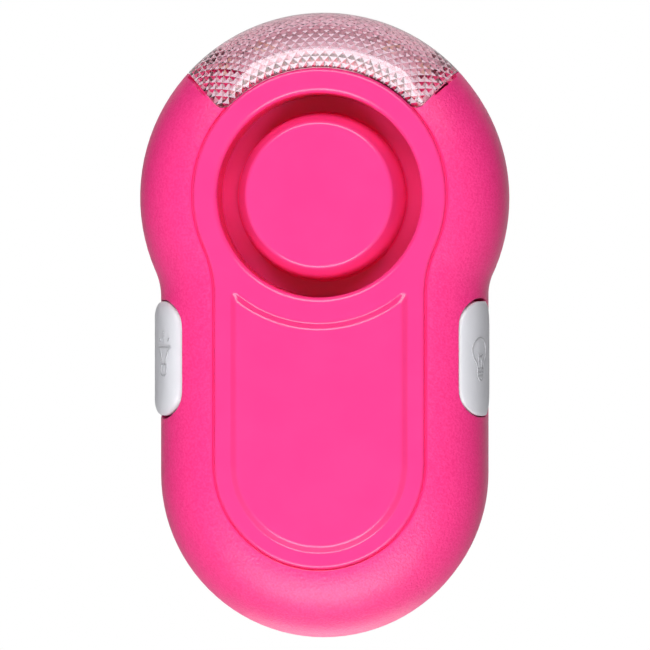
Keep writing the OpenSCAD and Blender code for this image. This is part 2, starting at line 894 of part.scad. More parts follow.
module clip_lever() {
  top_u = strap_gap + lever_t;
  thumb_y = pin_y + thumb_l;
  lever_l = thumb_y - tip_y + jaw_nose;
  color(pink) on_back() difference() {
    union() {
      intersection() {
        along_x(-lever_w / 2, lever_w / 2) polygon([
          [tip_y, tip_gap], [tip_y + jaw_w, tip_gap], [tip_y + jaw_w + jaw_slope, strap_gap],
          [thumb_y - thumb_bend, strap_gap], [thumb_y, strap_gap + thumb_flare],
          [thumb_y, top_u + thumb_flare], [thumb_y - thumb_bend, top_u], [tip_y + jaw_lead, top_u],
          [tip_y - jaw_nose, top_u - jaw_back], [tip_y - jaw_nose, tip_gap + jaw_nose]]);
        translate([0, thumb_y - lever_l / 2, 0]) linear_extrude(far)
          rounded_rect(lever_w + 2 * seam, lever_l + 2 * seam, lever_corner);
      }
      for (s = [0, 1]) mirror([s, 0, 0]) along_x(lever_w / 2 - lug_t, lever_w / 2) union() {
        translate([pin_y, pin_u]) circle(lug_r);
        polygon([[pin_y - lug_r + lug_step, pin_u], [pin_y + lug_r - lug_step, pin_u],
          [pin_y + lug_r + lug_foot, strap_gap + lever_t / 2],
          [pin_y - lug_r - lug_foot, strap_gap + lever_t / 2]]);
      }
    }
    pin_bore(pin_d / 2 + pin_clear, lever_w);
  }
}

module clip_pin() {
  color(steel) on_back() pin_bore(pin_d / 2, ear_in + ear_t);
}

// Torsion spring: one leg on the case, curls round the pin, one leg under the lever
clip_path = concat(
  [[coil_half, pin_y - leg_l, clip_wire / 2 + touch],
    [coil_half, pin_y - leg_l / 2, pin_u - coil_r - leg_bow]],
  [for (i = [0:coil_steps]) let (a = -90 + curl_step * i) [coil_half - 2 * coil_half * i / coil_steps,
    pin_y + coil_r * cos(a), pin_u + coil_r * sin(a)]],
  [[-coil_half, pin_y - leg_l / 2, pin_u + coil_r],
    [-coil_half, pin_y - leg_l, strap_gap - clip_wire / 2 - touch]]);
echo(clip_spring_gap = self_gap(clip_path, curl_apart, clip_wire));
module clip_spring() {
  color(steel) on_back() tube(clip_path, clip_wire / 2, wire_sides, [1, 0, 0]);
}

place() {
  front_shell();
  rear_shell();
  battery_door();
  light_lens();
  light_tray();
  led_board();
  led_lamps();
  sounder_cap();
  sounder_gasket();
  piezo_plate();
  piezo_ceramic();
  alarm_button();
  light_button();
  main_board();
  controller_chip();
  drive_transistor();
  capacitor();
  coil_core();
  coil_winding();
  alarm_switch();
  light_switch();
  alarm_stem();
  light_stem();
  board_screws();
  case_screws();
  battery_cells();
  battery_jackets();
  bridge_plate();
  positive_plate();
  negative_plate();
  contact_springs();
  clip_lever();
  clip_pin();
  clip_spring();
}
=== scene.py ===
"""Personal safety alarm: the dressed model, its studio and its camera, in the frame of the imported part."""
from math import acos, asin, atan, atan2, cos, hypot, pi, radians, sin, sqrt, tan

import bmesh
import bpy
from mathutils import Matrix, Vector


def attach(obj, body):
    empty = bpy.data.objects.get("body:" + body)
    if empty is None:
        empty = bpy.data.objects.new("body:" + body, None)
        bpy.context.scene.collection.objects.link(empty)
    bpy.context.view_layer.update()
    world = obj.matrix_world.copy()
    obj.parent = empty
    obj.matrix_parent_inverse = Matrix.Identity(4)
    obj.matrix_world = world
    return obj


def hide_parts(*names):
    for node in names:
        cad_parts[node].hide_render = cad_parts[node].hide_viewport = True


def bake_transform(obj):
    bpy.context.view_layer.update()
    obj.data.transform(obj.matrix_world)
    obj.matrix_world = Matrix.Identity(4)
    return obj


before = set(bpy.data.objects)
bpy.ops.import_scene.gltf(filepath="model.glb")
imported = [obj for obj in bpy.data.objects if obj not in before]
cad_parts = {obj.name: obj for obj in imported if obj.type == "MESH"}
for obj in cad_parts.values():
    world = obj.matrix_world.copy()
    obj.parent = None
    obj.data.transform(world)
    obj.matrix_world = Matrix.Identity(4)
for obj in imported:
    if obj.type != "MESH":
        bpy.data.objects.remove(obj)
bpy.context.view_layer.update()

# ---------------- sizes, in mm on the case's own axes
# x to the right, y up from the middle of the round foot, z out of the front from the parting plane
MM = 0.001
STRAP_BACK = -14.144  # z of the middle of the strap gap, behind the case
STRAP_UP = 18.65  # y of the middle of the strap gap
THROUGH = (-1.0, 20.0)  # z below and above all of the front half, for cuts

HEAD_R, BODY_R, HEAD_Y, NECK_R = 23.6, 20.9, 35.5, 8.0
WALL, WALL_RISE, RIM_R, FLAT_Z = 2.0, 4.0, 9.0, 12.944
WALL_IN = 0.01  # the wall keeps inside the flats of the solid's own outline
PLATE_HEAD_R, PLATE_HALF, PLATE_FOOT_Y, PLATE_NECK_R = 16.04, 13.34, 1.62, 15.0
PLATE_Z = 13.344
APRON = 0.42  # the rim ends this near to the plateau; a fine groove lies between them
PLATE_STEP = [  # inwards from the plateau's line, and height as a share of the step
    (-0.28, -0.02), (-0.23, -0.09), (-0.17, -0.42), (-0.11, -0.68), (-0.04, -0.68), (0.02, -0.36),
    (0.08, 0.4), (0.15, 0.68), (0.22, 0.84), (0.34, 0.95), (0.48, 0.99), (0.62, 1.0)]
PANEL_HALF, PANEL_FOOT_Y, PANEL_ARC_R, PANEL_NOSE, PANEL_RISE = 11.31, 1.53, 16.10, 0.57, 0.7
NOSE_SHRINK = 0.4  # what the panel's rounded noses lose of each step inwards
PANEL_STEP = [  # inwards from the panel's line, and height over the plateau
    (-0.06, 0.0), (0.05, 0.012), (0.15, 0.05), (0.24, 0.11), (0.68, 0.53), (0.8, 0.615), (0.94, 0.67),
    (1.06, 0.693), (1.18, PANEL_RISE)]
GROOVE_R, GROOVE_MOUTH, GROOVE_FLOOR = 12.93, 0.72, 5.744
BARREL_OUT_R, BARREL_IN_R, BARREL_END = 15.4, 14.0, 2.174

BOSS_TOP_R, BOSS_FOOT_R, BOSS_Z, BOSS_EDGE = 9.25, 10.72, 13.644, 0.6
BOSS_WALL = (0.85, 0.7, 0.55, 0.4, 0.25, 0.1, 0.025)  # heights of its rings, as shares of the wall
BOSS_FILLET = [(0.1, 0.06), (0.25, 0.0)]  # outwards from its foot, and height over the groove's floor
BOSS_SKIN, BOSS_COLUMNS = 1.5, 144
PORT_SILL, PORT_HIGH, PORT_HALF = 0.3, 1.0, radians(50)
PORT_OUT, PORT_IN = 0.6, 1.0  # how far the cut for a port goes past the wall, outwards and inwards
FLANGE_R, FLANGE_UNDER = 13.85, 4.444

LENS_END = radians(40.8)  # angle from the right where the lens begins, at its inner corner
LENS_LEAN = radians(6)  # how far its ends lean away from the middle of the head
LENS_IN_R, LENS_GAP, LENS_CORNER = 16.25, 0.15, 1.3
LENS_REACH = 24.0  # its ends are drawn on to well outside the head
SLIT_WIDE, SLIT_FROM_R, SLIT_TO_R = 0.34, 19.4, 23.0  # beside the outer half of each end
SEAT_BACK, SEAT_THICK, SEAT_SKIN = 0.03, 0.8, 2.2  # behind the opening; thickness; under the case's skin
SEAT_FOOT, SEAT_IN_R = 0.3, BARREL_OUT_R + 0.1
PRISM_WIDE, PRISM_TALL, PRISM_HIGH = 0.64, 0.8, 0.4  # half spacings round and along, and height
LENS_THICK, LENS_FOOT = 1.4, 0.02
LENS_TOP = radians(88)  # how far round the rim it reaches
LENS_EDGE = radians(2.2)  # plain strip at each end
LENS_OVER = 0.02  # radians that it is made too long at each end, before it is trimmed
LENS_MID_R = 20.0  # where the prisms' width round the head is measured

BUTTON_Y, BUTTON_Z, BUTTON_LONG, BUTTON_WIDE, BUTTON_CORNER = 14.83, 6.65, 14.6, 8.3, 3.7
ALARM_PROUD, LIGHT_PROUD = 0.8, 0.35
ALARM_CROWN, LIGHT_CROWN = (1.9, 0.95), (2.3, 0.42)  # how far in the crown is round, and its drop
BUTTON_TOP = (2.8, 3.6)  # how far in the rings on the level top of the crown lie
BUTTON_ROOT = 1.6  # how deep the cap goes into the case
BUTTON_FULL = 0.84  # power of the corner curve: 1 is a circle, less is fuller
BUTTON_GAP, BUTTON_END_GAP = 0.09, 0.18  # all round, and how much more at the two ends
BUTTON_SETTLE = 0.12  # the alarm button sits this much high in its hole, the light button low
HOLE_FROM, HOLE_TO = 12.0, 26.0  # x of the two ends of the block that cuts a hole
HOLE_LIP = [  # outwards from the hole, and height over the case's skin
    (0.0, -0.2), (0.015, -0.12), (0.045, -0.055), (0.09, -0.015), (0.15, 0.0), (0.3, 0.03)]
MARK_RADIUS, MARK_FLAT, MARK_STEP = 0.11, 0.7, 0.15  # the pictograms' lines: flat of 1 would be round
HORN_FORWARD, BULB_FORWARD = 2.3, 1.45  # they sit in front of the button's middle, where they show
ABOVE_SKIN = 2.0  # a height over the case's skin, to find the way out of it

LAMP_RING_R, LAMP_LONG, LAMP_WIDE, LAMP_FOOT, LAMP_TOP = 18.85, 3.5, 2.8, 1.5, 3.4
LAMP_CORNER, LAMP_EDGE = 0.25, 0.1
LAMP_TURNS = (radians(60), radians(120))
CUP_R, CUP_FLOOR_R, CUP_DEEP = 1.1, 0.95, 0.25
TRAY_HALF, TRAY_IN_R, TRAY_OUT_R = radians(46.8), 16.4, 20.1
TRAY_UNDER, TRAY_FLOOR, TRAY_LIP = 1.5, 2.3, 3.9
TRAY_BACK_LOW, TRAY_BACK_HIGH = 5.4, 8.4
TRAY_RAMP = radians(20), radians(34)  # where the back climbs
TRAY_LIP_WIDE, TRAY_BACK_WIDE = 0.5, 0.4
TRAY_LIP_FOOT, TRAY_BACK_FOOT = (0.7, 1.2), (0.6, 1.1)  # where the slopes down to the floor begin and end
TRAY_SLOPE = 0.5  # and how high they begin
WINDOW_HALF, WINDOW_SIDE = 2.0, 1.65  # half of a lamp's window, round the head and outwards
WINDOW_UNDER, WINDOW_OVER = 0.5, 0.8  # how far the cut for it goes past the tray's floor

BACK_Z = -11.344  # the flat back of the case
PIN_Y, PIN_OUT, PIN_BORE_R, BORE_HALF = 40.3, 3.3, 1.05, 10.0
LEVER_HALF, LEVER_LOW, LEVER_HIGH, LEVER_CORNER, LEVER_EDGE = 6.2, -3.8, 53.8, 3.0, 0.35
LEVER_ROOM = (BACK_Z - 12.0, BACK_Z + 2.0)  # z behind all of the lever, and in front of it
THUMB_Y, THUMB_OUT, THUMB_RISE = 45.8, 7.6, 0.9  # where the thumb end begins, and how far it flares
LEVER_SIDE = [  # the outline from the side: y, distance from the back, rounding
    (-3.0, 0.3, 0.3), (-1.2, 0.3, 0.5), (1.5, 5.6, 1.5), (THUMB_Y, 5.6, 12.0), (LEVER_HIGH, 6.5, 0.3),
    (LEVER_HIGH, 8.5, 0.3), (THUMB_Y, THUMB_OUT, 12.0), (-0.5, THUMB_OUT, 2.5), (LEVER_LOW, 3.6, 1.5),
    (LEVER_LOW, 1.1, 0.3)]
LUG_R, LUG_IN, LUG_TOP, LUG_FLARE = 2.6, 4.0, 6.4, 0.6
LUG_SHY = 0.03  # how far the lugs keep inside the lever's sides
RIDGE_YS, RIDGE_HALF, RIDGE_R, RIDGE_FLAT = (46.6, 48.4, 50.2), 4.0, 0.42, 0.75
COIL_R, COIL_HALF, COIL_TURNS, COIL_WIRE, COIL_LEG = 1.75, 2.2, 3.5, 0.6, 11.0
LEG_FOOT, LEG_BOW, LEG_LEAN = 0.35, 0.6, 0.2  # first leg's end over the back, its bow; second leg's lean
COIL_STEPS, LEG_STEPS = 24, 12  # in one turn, and in one leg

# columns round the case: foot, straight side, neck, cheek up to the lens, half of the crown
FOOT, SIDE, NECK, CHEEK, CROWN = 24, 12, 8, 18, 24

# mesh making
CRISP, LENS_CRISP, LEVER_CRISP = 32.0, 16.0, 40.0  # degrees: edges that turn more stay crisp
FLAT_TURN = 1.0  # degrees: faces that turn less are one flat
WELD = 1e-7  # metres: corners nearer than this are one


def spot(x, y, z):
    """A point of the case, in metres in the shared frame."""
    return Vector((x, STRAP_BACK - z, y - STRAP_UP)) * MM


# ---------------- camera and softboxes
CAMERA_AWAY, CAMERA_TURN = 600.0, radians(3.75)
CAMERA_AIM = (0.16, 19.1, 4.0)
SENSOR = 36.0
PIXELS, PIXEL_WIDE = 650, 0.12814  # across the picture, and mm of each at the case's widest plane
LIT_POINT = Vector((0, -0.012, 0))  # metres; the middle of the case, where the softboxes are aimed


def add_object(name, data):
    """A new object, in the scene."""
    made = bpy.data.objects.new(name, data)
    bpy.context.collection.objects.link(made)
    return made


def set_camera():
    """A long lens in front of the case, a little to the right of it."""
    eye = add_object("camera", bpy.data.cameras.new("camera"))
    target = spot(*CAMERA_AIM)
    eye.location = target + Vector((sin(CAMERA_TURN), -cos(CAMERA_TURN), 0.0)) * CAMERA_AWAY * MM
    eye.rotation_euler = (target - eye.location).to_track_quat("-Z", "Y").to_euler()
    eye.data.sensor_width = SENSOR
    eye.data.lens = SENSOR * CAMERA_AWAY / (PIXELS * PIXEL_WIDE)
    eye.data.clip_start = 0.01
    bpy.context.scene.camera = eye


def add_softbox(name, place, wide, tall, watts, mirrored):
    """A rectangle of light aimed at the case; mirrored says whether its reflection shows."""
    lamp = bpy.data.lights.new(name, "AREA")
    lamp.shape, lamp.size, lamp.size_y, lamp.energy = "RECTANGLE", wide, tall, watts
    box = add_object(name, lamp)
    box.location = place
    box.rotation_euler = (LIT_POINT - box.location).to_track_quat("-Z", "Y").to_euler()
    box.visible_camera = False
    box.visible_glossy = mirrored
    box.visible_transmission = False


# ---------------- shader nodes
TONE_FROM, TONE_TO = 0.35, 0.65  # of the noise: all darker tone below, all lighter tone above
PLASTIC_SWING = (-0.04, 0.06)  # what the skin takes from and adds to the roughness
METAL_SWING = (-0.06, 0.1)
HANDLED, STREAK_DEEP = 3.0, 0.01  # mm: patches dulled by handling, depth of the drawn lines
FLOW_LONG, FLOW_DEEP = 4.0, 0.01  # mm: ripple where clear plastic flowed into its mould


def linear(code):
    """An sRGB hex colour as linear red, green, blue and a full alpha."""
    parts = [int(code[k:k + 2], 16) / 255 for k in (1, 3, 5)]
    return tuple(p / 12.92 if p <= 0.04045 else ((p + 0.055) / 1.055) ** 2.4 for p in parts) + (1.0,)


def add(tree, kind, sockets=None, **settings):
    """One shader node, with its settings; a socket's value is a number, a colour or a link."""
    made = tree.nodes.new("ShaderNode" + kind)
    for name, value in settings.items():
        setattr(made, name, value)
    for name, value in (sockets or {}).items():
        if isinstance(value, bpy.types.NodeSocket):
            tree.links.new(value, made.inputs[name])
        else:
            made.inputs[name].default_value = value
    return made


def grain(size):
    """Noise scale, per metre, whose lumps are about size mm across."""
    return 1.0 / (size * MM)


def new_material(name):
    """An empty material, its node tree, and the place on the piece that its patterns hang on."""
    made = bpy.data.materials.new(name)
    made.use_nodes = True
    made.node_tree.nodes.clear()
    return made, made.node_tree, add(made.node_tree, "TexCoord").outputs["Object"]


def moulded(name, light, dark, rough, lump, height, ior=1.53, tone_size=6.0):
    """Moulded plastic: two close tones in soft patches, and a skin of lumps from the mould's texture. When
    the tones' noise is as fine as the lumps, it follows them, and the darker tone lies in the pits as painted
    shade.
    """
    made, tree, place = new_material(name)
    tone_noise = add(tree, "TexNoise", {"Vector": place, "Scale": grain(tone_size), "Detail": 2.0})
    tone = add(tree, "ValToRGB", {"Fac": tone_noise.outputs["Fac"]})
    low, high = tone.color_ramp.elements
    low.position, low.color = TONE_FROM, linear(dark)
    high.position, high.color = TONE_TO, linear(light)
    skin = add(tree, "TexNoise", {"Vector": place, "Scale": grain(lump), "Detail": 3.0, "Roughness": 0.6})
    bump = add(tree, "Bump", {"Height": skin.outputs["Fac"], "Distance": height * MM, "Strength": 1.0})
    sheen = add(tree, "MapRange", {
        "Value": skin.outputs["Fac"], "To Min": rough + PLASTIC_SWING[0], "To Max": rough + PLASTIC_SWING[1]})
    shader = add(tree, "BsdfPrincipled", {
        "Base Color": tone.outputs["Color"], "IOR": ior, "Roughness": sheen.outputs["Result"],
        "Normal": bump.outputs["Normal"]})
    add(tree, "OutputMaterial", {"Surface": shader.outputs["BSDF"]})
    return made


def metal(name, light, dark, rough, streak):
    """Bare or plated metal: drawn or rolled lines about streak mm apart, dulled in patches by handling."""
    made, tree, place = new_material(name)
    lines = add(tree, "TexNoise", {"Vector": place, "Scale": grain(streak), "Detail": 4.0})
    tone_noise = add(tree, "TexNoise", {"Vector": place, "Scale": grain(HANDLED), "Detail": 3.0})
    tone = add(tree, "ValToRGB", {"Fac": tone_noise.outputs["Fac"]})
    low, high = tone.color_ramp.elements
    low.color, high.color = linear(dark), linear(light)
    sheen = add(tree, "MapRange", {
        "Value": tone_noise.outputs["Fac"], "To Min": rough + METAL_SWING[0], "To Max": rough + METAL_SWING[1]})
    bump = add(tree, "Bump", {
        "Height": lines.outputs["Fac"], "Distance": STREAK_DEEP * MM, "Strength": 0.6})
    shader = add(tree, "BsdfPrincipled", {
        "Base Color": tone.outputs["Color"], "Metallic": 1.0, "Roughness": sheen.outputs["Result"],
        "Normal": bump.outputs["Normal"]})
    add(tree, "OutputMaterial", {"Surface": shader.outputs["BSDF"]})
    return made


def clear_moulded(name, tint, rough, ior):
    """Clear moulded plastic: polished in the mould, with a faint flow ripple."""
    made, tree, place = new_material(name)
    flow = add(tree, "TexNoise", {"Vector": place, "Scale": grain(FLOW_LONG), "Detail": 1.0})
    bump = add(tree, "Bump", {"Height": flow.outputs["Fac"], "Distance": FLOW_DEEP * MM, "Strength": 0.5})
    shader = add(tree, "BsdfPrincipled", {
        "Base Color": linear(tint), "Roughness": rough, "IOR": ior, "Transmission Weight": 1.0,
        "Normal": bump.outputs["Normal"]})
    add(tree, "OutputMaterial", {"Surface": shader.outputs["BSDF"]})
    return made


# ---------------- finishes
# Plastics: lighter and darker tone, roughness, then width and height in mm of the lumps in the skin

# Spark-eroded ABS: the mould's fine pits give a soft sheen broken into small sparkles. Real pits are about
# 0.1 mm wide, too fine to show here, so they are drawn coarser. Its two tones are as fine as the lumps and
# follow them, so the darker tone in the pits is painted shade
pink_rim = moulded("ABS pink, spark-eroded mould", "#FF4090", "#F72D82", 0.32, 0.3, 0.085, tone_size=0.3)
# Stoned ABS: the mould's flats are rubbed smoother, so the sheen is broad and even
pink_flat = moulded("ABS pink, satin mould", "#FF3F8D", "#FD3C8B", 0.21, 0.22, 0.002)
# ABS in the sounder's well: even, and deeper and redder than the flats, as painted shade for the deep, narrow
# well
well_pink_painted_shade = moulded("ABS pink, turned mould", "#F62B6E", "#F2276A", 0.28, 0.22, 0.004)
# Polished polystyrene: clear, with a breath of pink in it, and sharp edges that flash
lens_clear = clear_moulded("Polystyrene clear, polished mould", "#F5D4E2", 0.06, 1.59)
# Bright white polystyrene: a glossy reflector
tray_white = moulded("Polystyrene white, gloss mould", "#F0EDEB", "#EAE6E4", 0.25, 0.5, 0.003)
# White nylon of the lamps' housing: matt, slightly chalky
lamp_white = moulded("Nylon white, moulded", "#F3F1EC", "#ECEAE4", 0.45, 0.3, 0.003)
# Pale grey ABS with a fine eroded skin: a quiet, even sheen
button_grey = moulded("ABS pale grey, fine eroded mould", "#DDDDE3", "#D9D9DF", 0.40, 0.22, 0.006)
# The same ABS in the lines of the pictograms: rougher, and a shade darker as painted shade along the lines
mark_grey_painted_shade = moulded("ABS grey, rough eroded lines", "#B7B7BC", "#AFAFB4", 0.55, 0.12, 0.006)
# White solder mask: smooth and slightly glossy
board_white = moulded("Fibreglass board, white lacquer", "#EFEFEA", "#E8E8E2", 0.35, 0.4, 0.004)
# Green solder mask: the same slight gloss over a deep green
board_green = moulded("Fibreglass board, green lacquer", "#1E6B3C", "#195E34", 0.35, 0.4, 0.004)
# Phosphor in clear silicone: matt, a pale yellow
phosphor = moulded("Silicone with yellow phosphor, cast", "#F1EFD2", "#EBE8C6", 0.5, 0.2, 0.004)
# Pressed silicone rubber: a soft, dull black
rubber = moulded("Silicone rubber black, pressed", "#202022", "#1A1A1C", 0.6, 0.3, 0.006)
# Moulded epoxy: nearly black and matt, with a fine tooth
chip_black = moulded("Epoxy black, moulded", "#17181A", "#131416", 0.5, 0.15, 0.006)
# Undyed nylon: a warm, waxy off-white
ivory = moulded("Nylon ivory, moulded", "#E6DFC9", "#DED6BE", 0.45, 0.25, 0.005)
# Fired ferrite: dark grey, dull and grainy
ferrite = moulded("Ferrite, pressed and fired", "#34343A", "#2A2A2F", 0.55, 0.15, 0.008)
# Silvered piezo ceramic: pale and matt
ceramic = moulded("Piezo ceramic, fired and silvered", "#C9C6BC", "#BDB9AE", 0.45, 0.2, 0.005)
# Shrunk PVC sleeve: dark and smooth, with long soft highlights
jacket = moulded("PVC sleeve, shrunk", "#26282C", "#202226", 0.3, 0.8, 0.004)

# Metals: lighter and darker tone, roughness, and spacing in mm of the drawn lines

# Rolled brass: warm yellow, with fine lines in its shine
brass = metal("Brass sheet, rolled", "#D9B35F", "#C59E4C", 0.28, 0.2)
# Enamelled copper: a reddish brown shine
copper = metal("Copper wire, enamelled", "#B9653A", "#9E5230", 0.3, 0.15)
# Drawn aluminium: a pale, slightly blue shine
can = metal("Aluminium can, drawn", "#C9CCD0", "#B6B9BE", 0.3, 0.2)
# Zinc plate: light grey and softly bright
plated = metal("Steel, zinc plated", "#C6C8CB", "#AEB1B5", 0.3, 0.15)
# Nickel plate: brighter than zinc, and a little warm
nickel = metal("Steel, nickel plated", "#CFCCC5", "#B9B6AE", 0.24, 0.15)
# Drawn spring steel: a darker grey, bright along the wire
spring_wire = metal("Spring steel, drawn", "#B8BABD", "#9FA1A5", 0.26, 0.1)


# ---------------- mesh making
class Skin:
    """Corners and faces of one piece, in mm on the case's axes, each face with the number of its finish."""

    def __init__(self):
        self.corners, self.faces, self.fills = [], [], []

    def ring(self, points):
        first = len(self.corners)
        self.corners += points
        return list(range(first, len(self.corners)))

    def face(self, *corners, finish=0):
        self.faces.append((corners, finish))

    def band(self, low, high, finish=0, closed=True):
        """Four-sided faces between two rings of the same count."""
        count = len(low)
        for i in range(count if closed else count - 1):
            j = (i + 1) % count
            self.face(low[i], low[j], high[j], high[i], finish=finish)

    def bands(self, rings, finish=0, closed=True):
        for low, high in zip(rings, rings[1:]):
            self.band(low, high, finish, closed)

    def fill(self, *loops, finish=0):
        """A flat face inside the first loop and outside the others."""
        self.fills.append((loops, finish))

    def solid(self, rings):
        """A closed body: bands from ring to ring, and a flat face on each end."""
        self.bands(rings)
        self.fill(rings[0])
        self.fill(rings[-1])


def make_piece(name, skin, finishes):
    mesh = bpy.data.meshes.new(name)
    work = bmesh.new()
    corners = [work.verts.new(spot(*c)) for c in skin.corners]
    work.verts.ensure_lookup_table()
    for indices, finish in skin.faces:
        face = work.faces.new([corners[i] for i in indices])
        face.material_index = finish
    for loops, finish in skin.fills:
        edges = []
        for loop in loops:
            for i, j in zip(loop, loop[1:] + loop[:1]):
                ends = (corners[i], corners[j])
                edges.append(work.edges.get(ends) or work.edges.new(ends))
        made = bmesh.ops.triangle_fill(work, use_beauty=True, use_dissolve=False, edges=edges)
        for part in made["geom"]:
            if isinstance(part, bmesh.types.BMFace):
                part.material_index = finish
    bmesh.ops.remove_doubles(work, verts=work.verts, dist=WELD)
    bmesh.ops.recalc_face_normals(work, faces=work.faces)
    work.to_mesh(mesh)
    work.free()
    for finish in finishes:
        mesh.materials.append(finish)
    piece = add_object(name, mesh)
    smooth(piece, CRISP)
    return piece


def smooth(piece, sharp):
    """Soft shading with crisp edges where faces turn more than sharp degrees; flats stay flat."""
    work = bmesh.new()
    work.from_mesh(piece.data)
    for face in work.faces:
        face.smooth = True
    for edge in work.edges:
        edge.smooth = edge.is_manifold and edge.calc_face_angle() < radians(sharp)
    work.to_mesh(piece.data)
    work.free()
    piece.modifiers.clear()
    even = piece.modifiers.new("even normals", "WEIGHTED_NORMAL")
    even.keep_sharp = True


def fit(piece, body, slot, *nodes):
    """The body a piece rides on, its slot (not used), and the CAD nodes it stands for."""
    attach(piece, body)
    if nodes:
        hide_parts(*nodes)


def sweep(count, start, end):
    """Evenly spaced values from start to end, both included."""
    return [start + (end - start) * k / count for k in range(count + 1)]


def arc(count, start, end, radius, x=0.0, y=0.0):
    """Points on a circle about x, y, from one angle to another."""
    return [(x + radius * cos(a), y + radius * sin(a)) for a in sweep(count, start, end)]


def way(angle):
    """A direction across the front, by its angle from the right."""
    return Vector((cos(angle), sin(angle)))


def block(ends):
    """A closed solid between two rings of points."""
    skin = Skin()
    skin.solid([skin.ring(points) for points in ends])
    return skin


def prism(line, low, high):
    """A straight block with the outline given, from low to high along z."""
    return block([[(x, y, z) for x, y in line] for z in (low, high)])


def carve(piece, skin, how):
    """Cuts a piece with a block, joins the two, or keeps only what lies in the block."""
    tool = make_piece("block", skin, [])
    cut = piece.modifiers.new("cut", "BOOLEAN")
    cut.operation, cut.object, cut.solver = how, tool, "EXACT"
    for other in [m for m in piece.modifiers if m != cut]:
        piece.modifiers.remove(other)
    graph = bpy.context.evaluated_depsgraph_get()
    cut_mesh = bpy.data.meshes.new_from_object(piece.evaluated_get(graph), depsgraph=graph)
    piece.modifiers.remove(cut)
    piece.data = cut_mesh
    bpy.data.objects.remove(tool)


# ---------------- outlines
def keyhole(head, half, foot_y, neck):
    """The case's outline from the lowest point, anticlockwise: x, y and the direction outwards."""
    drop = sqrt((head - half) * (head + half + 2 * neck))
    turn = atan2(drop, half + neck)
    right = [(half * cos(a), foot_y + half * sin(a), cos(a), sin(a))
             for a in sweep(FOOT, -pi / 2, 0)[:-1]]
    right += [(half, y, 1.0, 0.0) for y in sweep(SIDE, foot_y, HEAD_Y - drop)[:-1]]
    right += [(half + neck + neck * cos(a), HEAD_Y - drop + neck * sin(a),
               -cos(a), -sin(a)) for a in sweep(NECK, pi, pi - turn)[:-1]]
    right += [(head * cos(a), HEAD_Y + head * sin(a), cos(a), sin(a))
              for a in sweep(CHEEK, -turn, LENS_END)[:-1] + sweep(CROWN, LENS_END, pi / 2)]
    return right + [(-x, y, -u, v) for x, y, u, v in right[-2:0:-1]]


case_line = keyhole(HEAD_R, BODY_R, 0.0, NECK_R)
plate_line = keyhole(PLATE_HEAD_R, PLATE_HALF, PLATE_FOOT_Y, PLATE_NECK_R)


def inset(line, depth, z):
    """The outline moved inwards; z is one height or one for each column."""
    heights = z if isinstance(z, list) else [z] * len(line)
    return [(x - depth * u, y - depth * v, h) for (x, y, u, v), h in zip(line, heights)]


def depth_in_case(x, y):
    """How far a point lies inside the case's outline."""
    return min((hypot(x - a, y - b), (a - x) * u + (b - y) * v) for a, b, u, v in case_line)[1]


def rim_height(x, y):
    """Height of the rounded rim at a point of the front."""
    depth = depth_in_case(x, y)
    return min(FLAT_Z, WALL_RISE + sqrt(RIM_R ** 2 - (RIM_R - min(depth, RIM_R)) ** 2))


def disc(radius, z, count=96):
    """A circle about the middle of the head."""
    return [(x, y, z) for x, y in arc(count, 0, 2 * pi, radius, 0.0, HEAD_Y)[:-1]]


def panel_line(depth, z):
    """The raised panel's outline: round foot, straight sides, small noses, a top round the sounder."""
    half, curve, nose = PANEL_HALF - depth, PANEL_ARC_R + depth, PANEL_NOSE - NOSE_SHRINK * depth
    nose_x = half - nose
    nose_y = HEAD_Y - sqrt((curve + nose) ** 2 - nose_x ** 2)
    turn = atan2(HEAD_Y - nose_y, nose_x)
    right = arc(20, -pi / 2, 0, half, 0.0, PANEL_FOOT_Y)[:-1]
    right += [(half, y) for y in sweep(12, PANEL_FOOT_Y, nose_y)[:-1]]
    right += arc(6, 0, pi - turn, nose, nose_x, nose_y)
    right += arc(18, -turn, -pi / 2, curve, 0.0, HEAD_Y)[1:]
    return [(x, y, z) for x, y in right + [(-x, y) for x, y in right[-2:0:-1]]]


def lens_line(radius, end, corner, slit=0.0):
    """Outline of the lens on the head: two straight ends, an inner arc and two rounded inner corners."""
    lean = asin(corner / (radius + corner))
    inner = (radius + corner) * cos(lean)
    along, aside, start = way(end + LENS_LEAN), way(end - pi / 2), inner * way(end)
    half = [start + along * LENS_REACH]
    if slit:
        far, near = [start + along * (r - inner) for r in (SLIT_TO_R, SLIT_FROM_R)]
        half += [far, far + aside * slit, near + aside * slit, near]
    half = [tuple(point) for point in half]
    middle = ((radius + corner) * cos(end + lean), (radius + corner) * sin(end + lean))
    half += arc(8, end + 1.5 * pi, end + lean + pi, corner, *middle)
    half += arc(30, end + lean, pi / 2, radius)[1:]
    line = half + [(-x, y) for x, y in half[-2::-1]]
    return [(x, HEAD_Y + y) for x, y in line]


# ---------------- front shell
RIM_TURNS = [radians(6.5 * k) for k in range(1, 12)]  # up the rim, to just short of the apron
# depth and height of each ring, from the parting face with its softened edges up the wall and round the rim
RIM_OUTSIDE = ([(0.6, 0.0), (0.2, 0.0), (0.06, 0.06), (WALL_IN, 0.2), (WALL_IN, 2.0), (WALL_IN, WALL_RISE)]
               + [(RIM_R * (1 - cos(t)), WALL_RISE + RIM_R * sin(t)) for t in RIM_TURNS])
RIM_INSIDE = ([(1.0, 0.0), (1.6, 0.0), (1.9, 0.1), (WALL, 0.3), (WALL, 2.0), (WALL, WALL_RISE)]
              + [(RIM_R - (RIM_R - WALL) * cos(t), WALL_RISE + (RIM_R - WALL) * sin(t))
                 for t in RIM_TURNS])


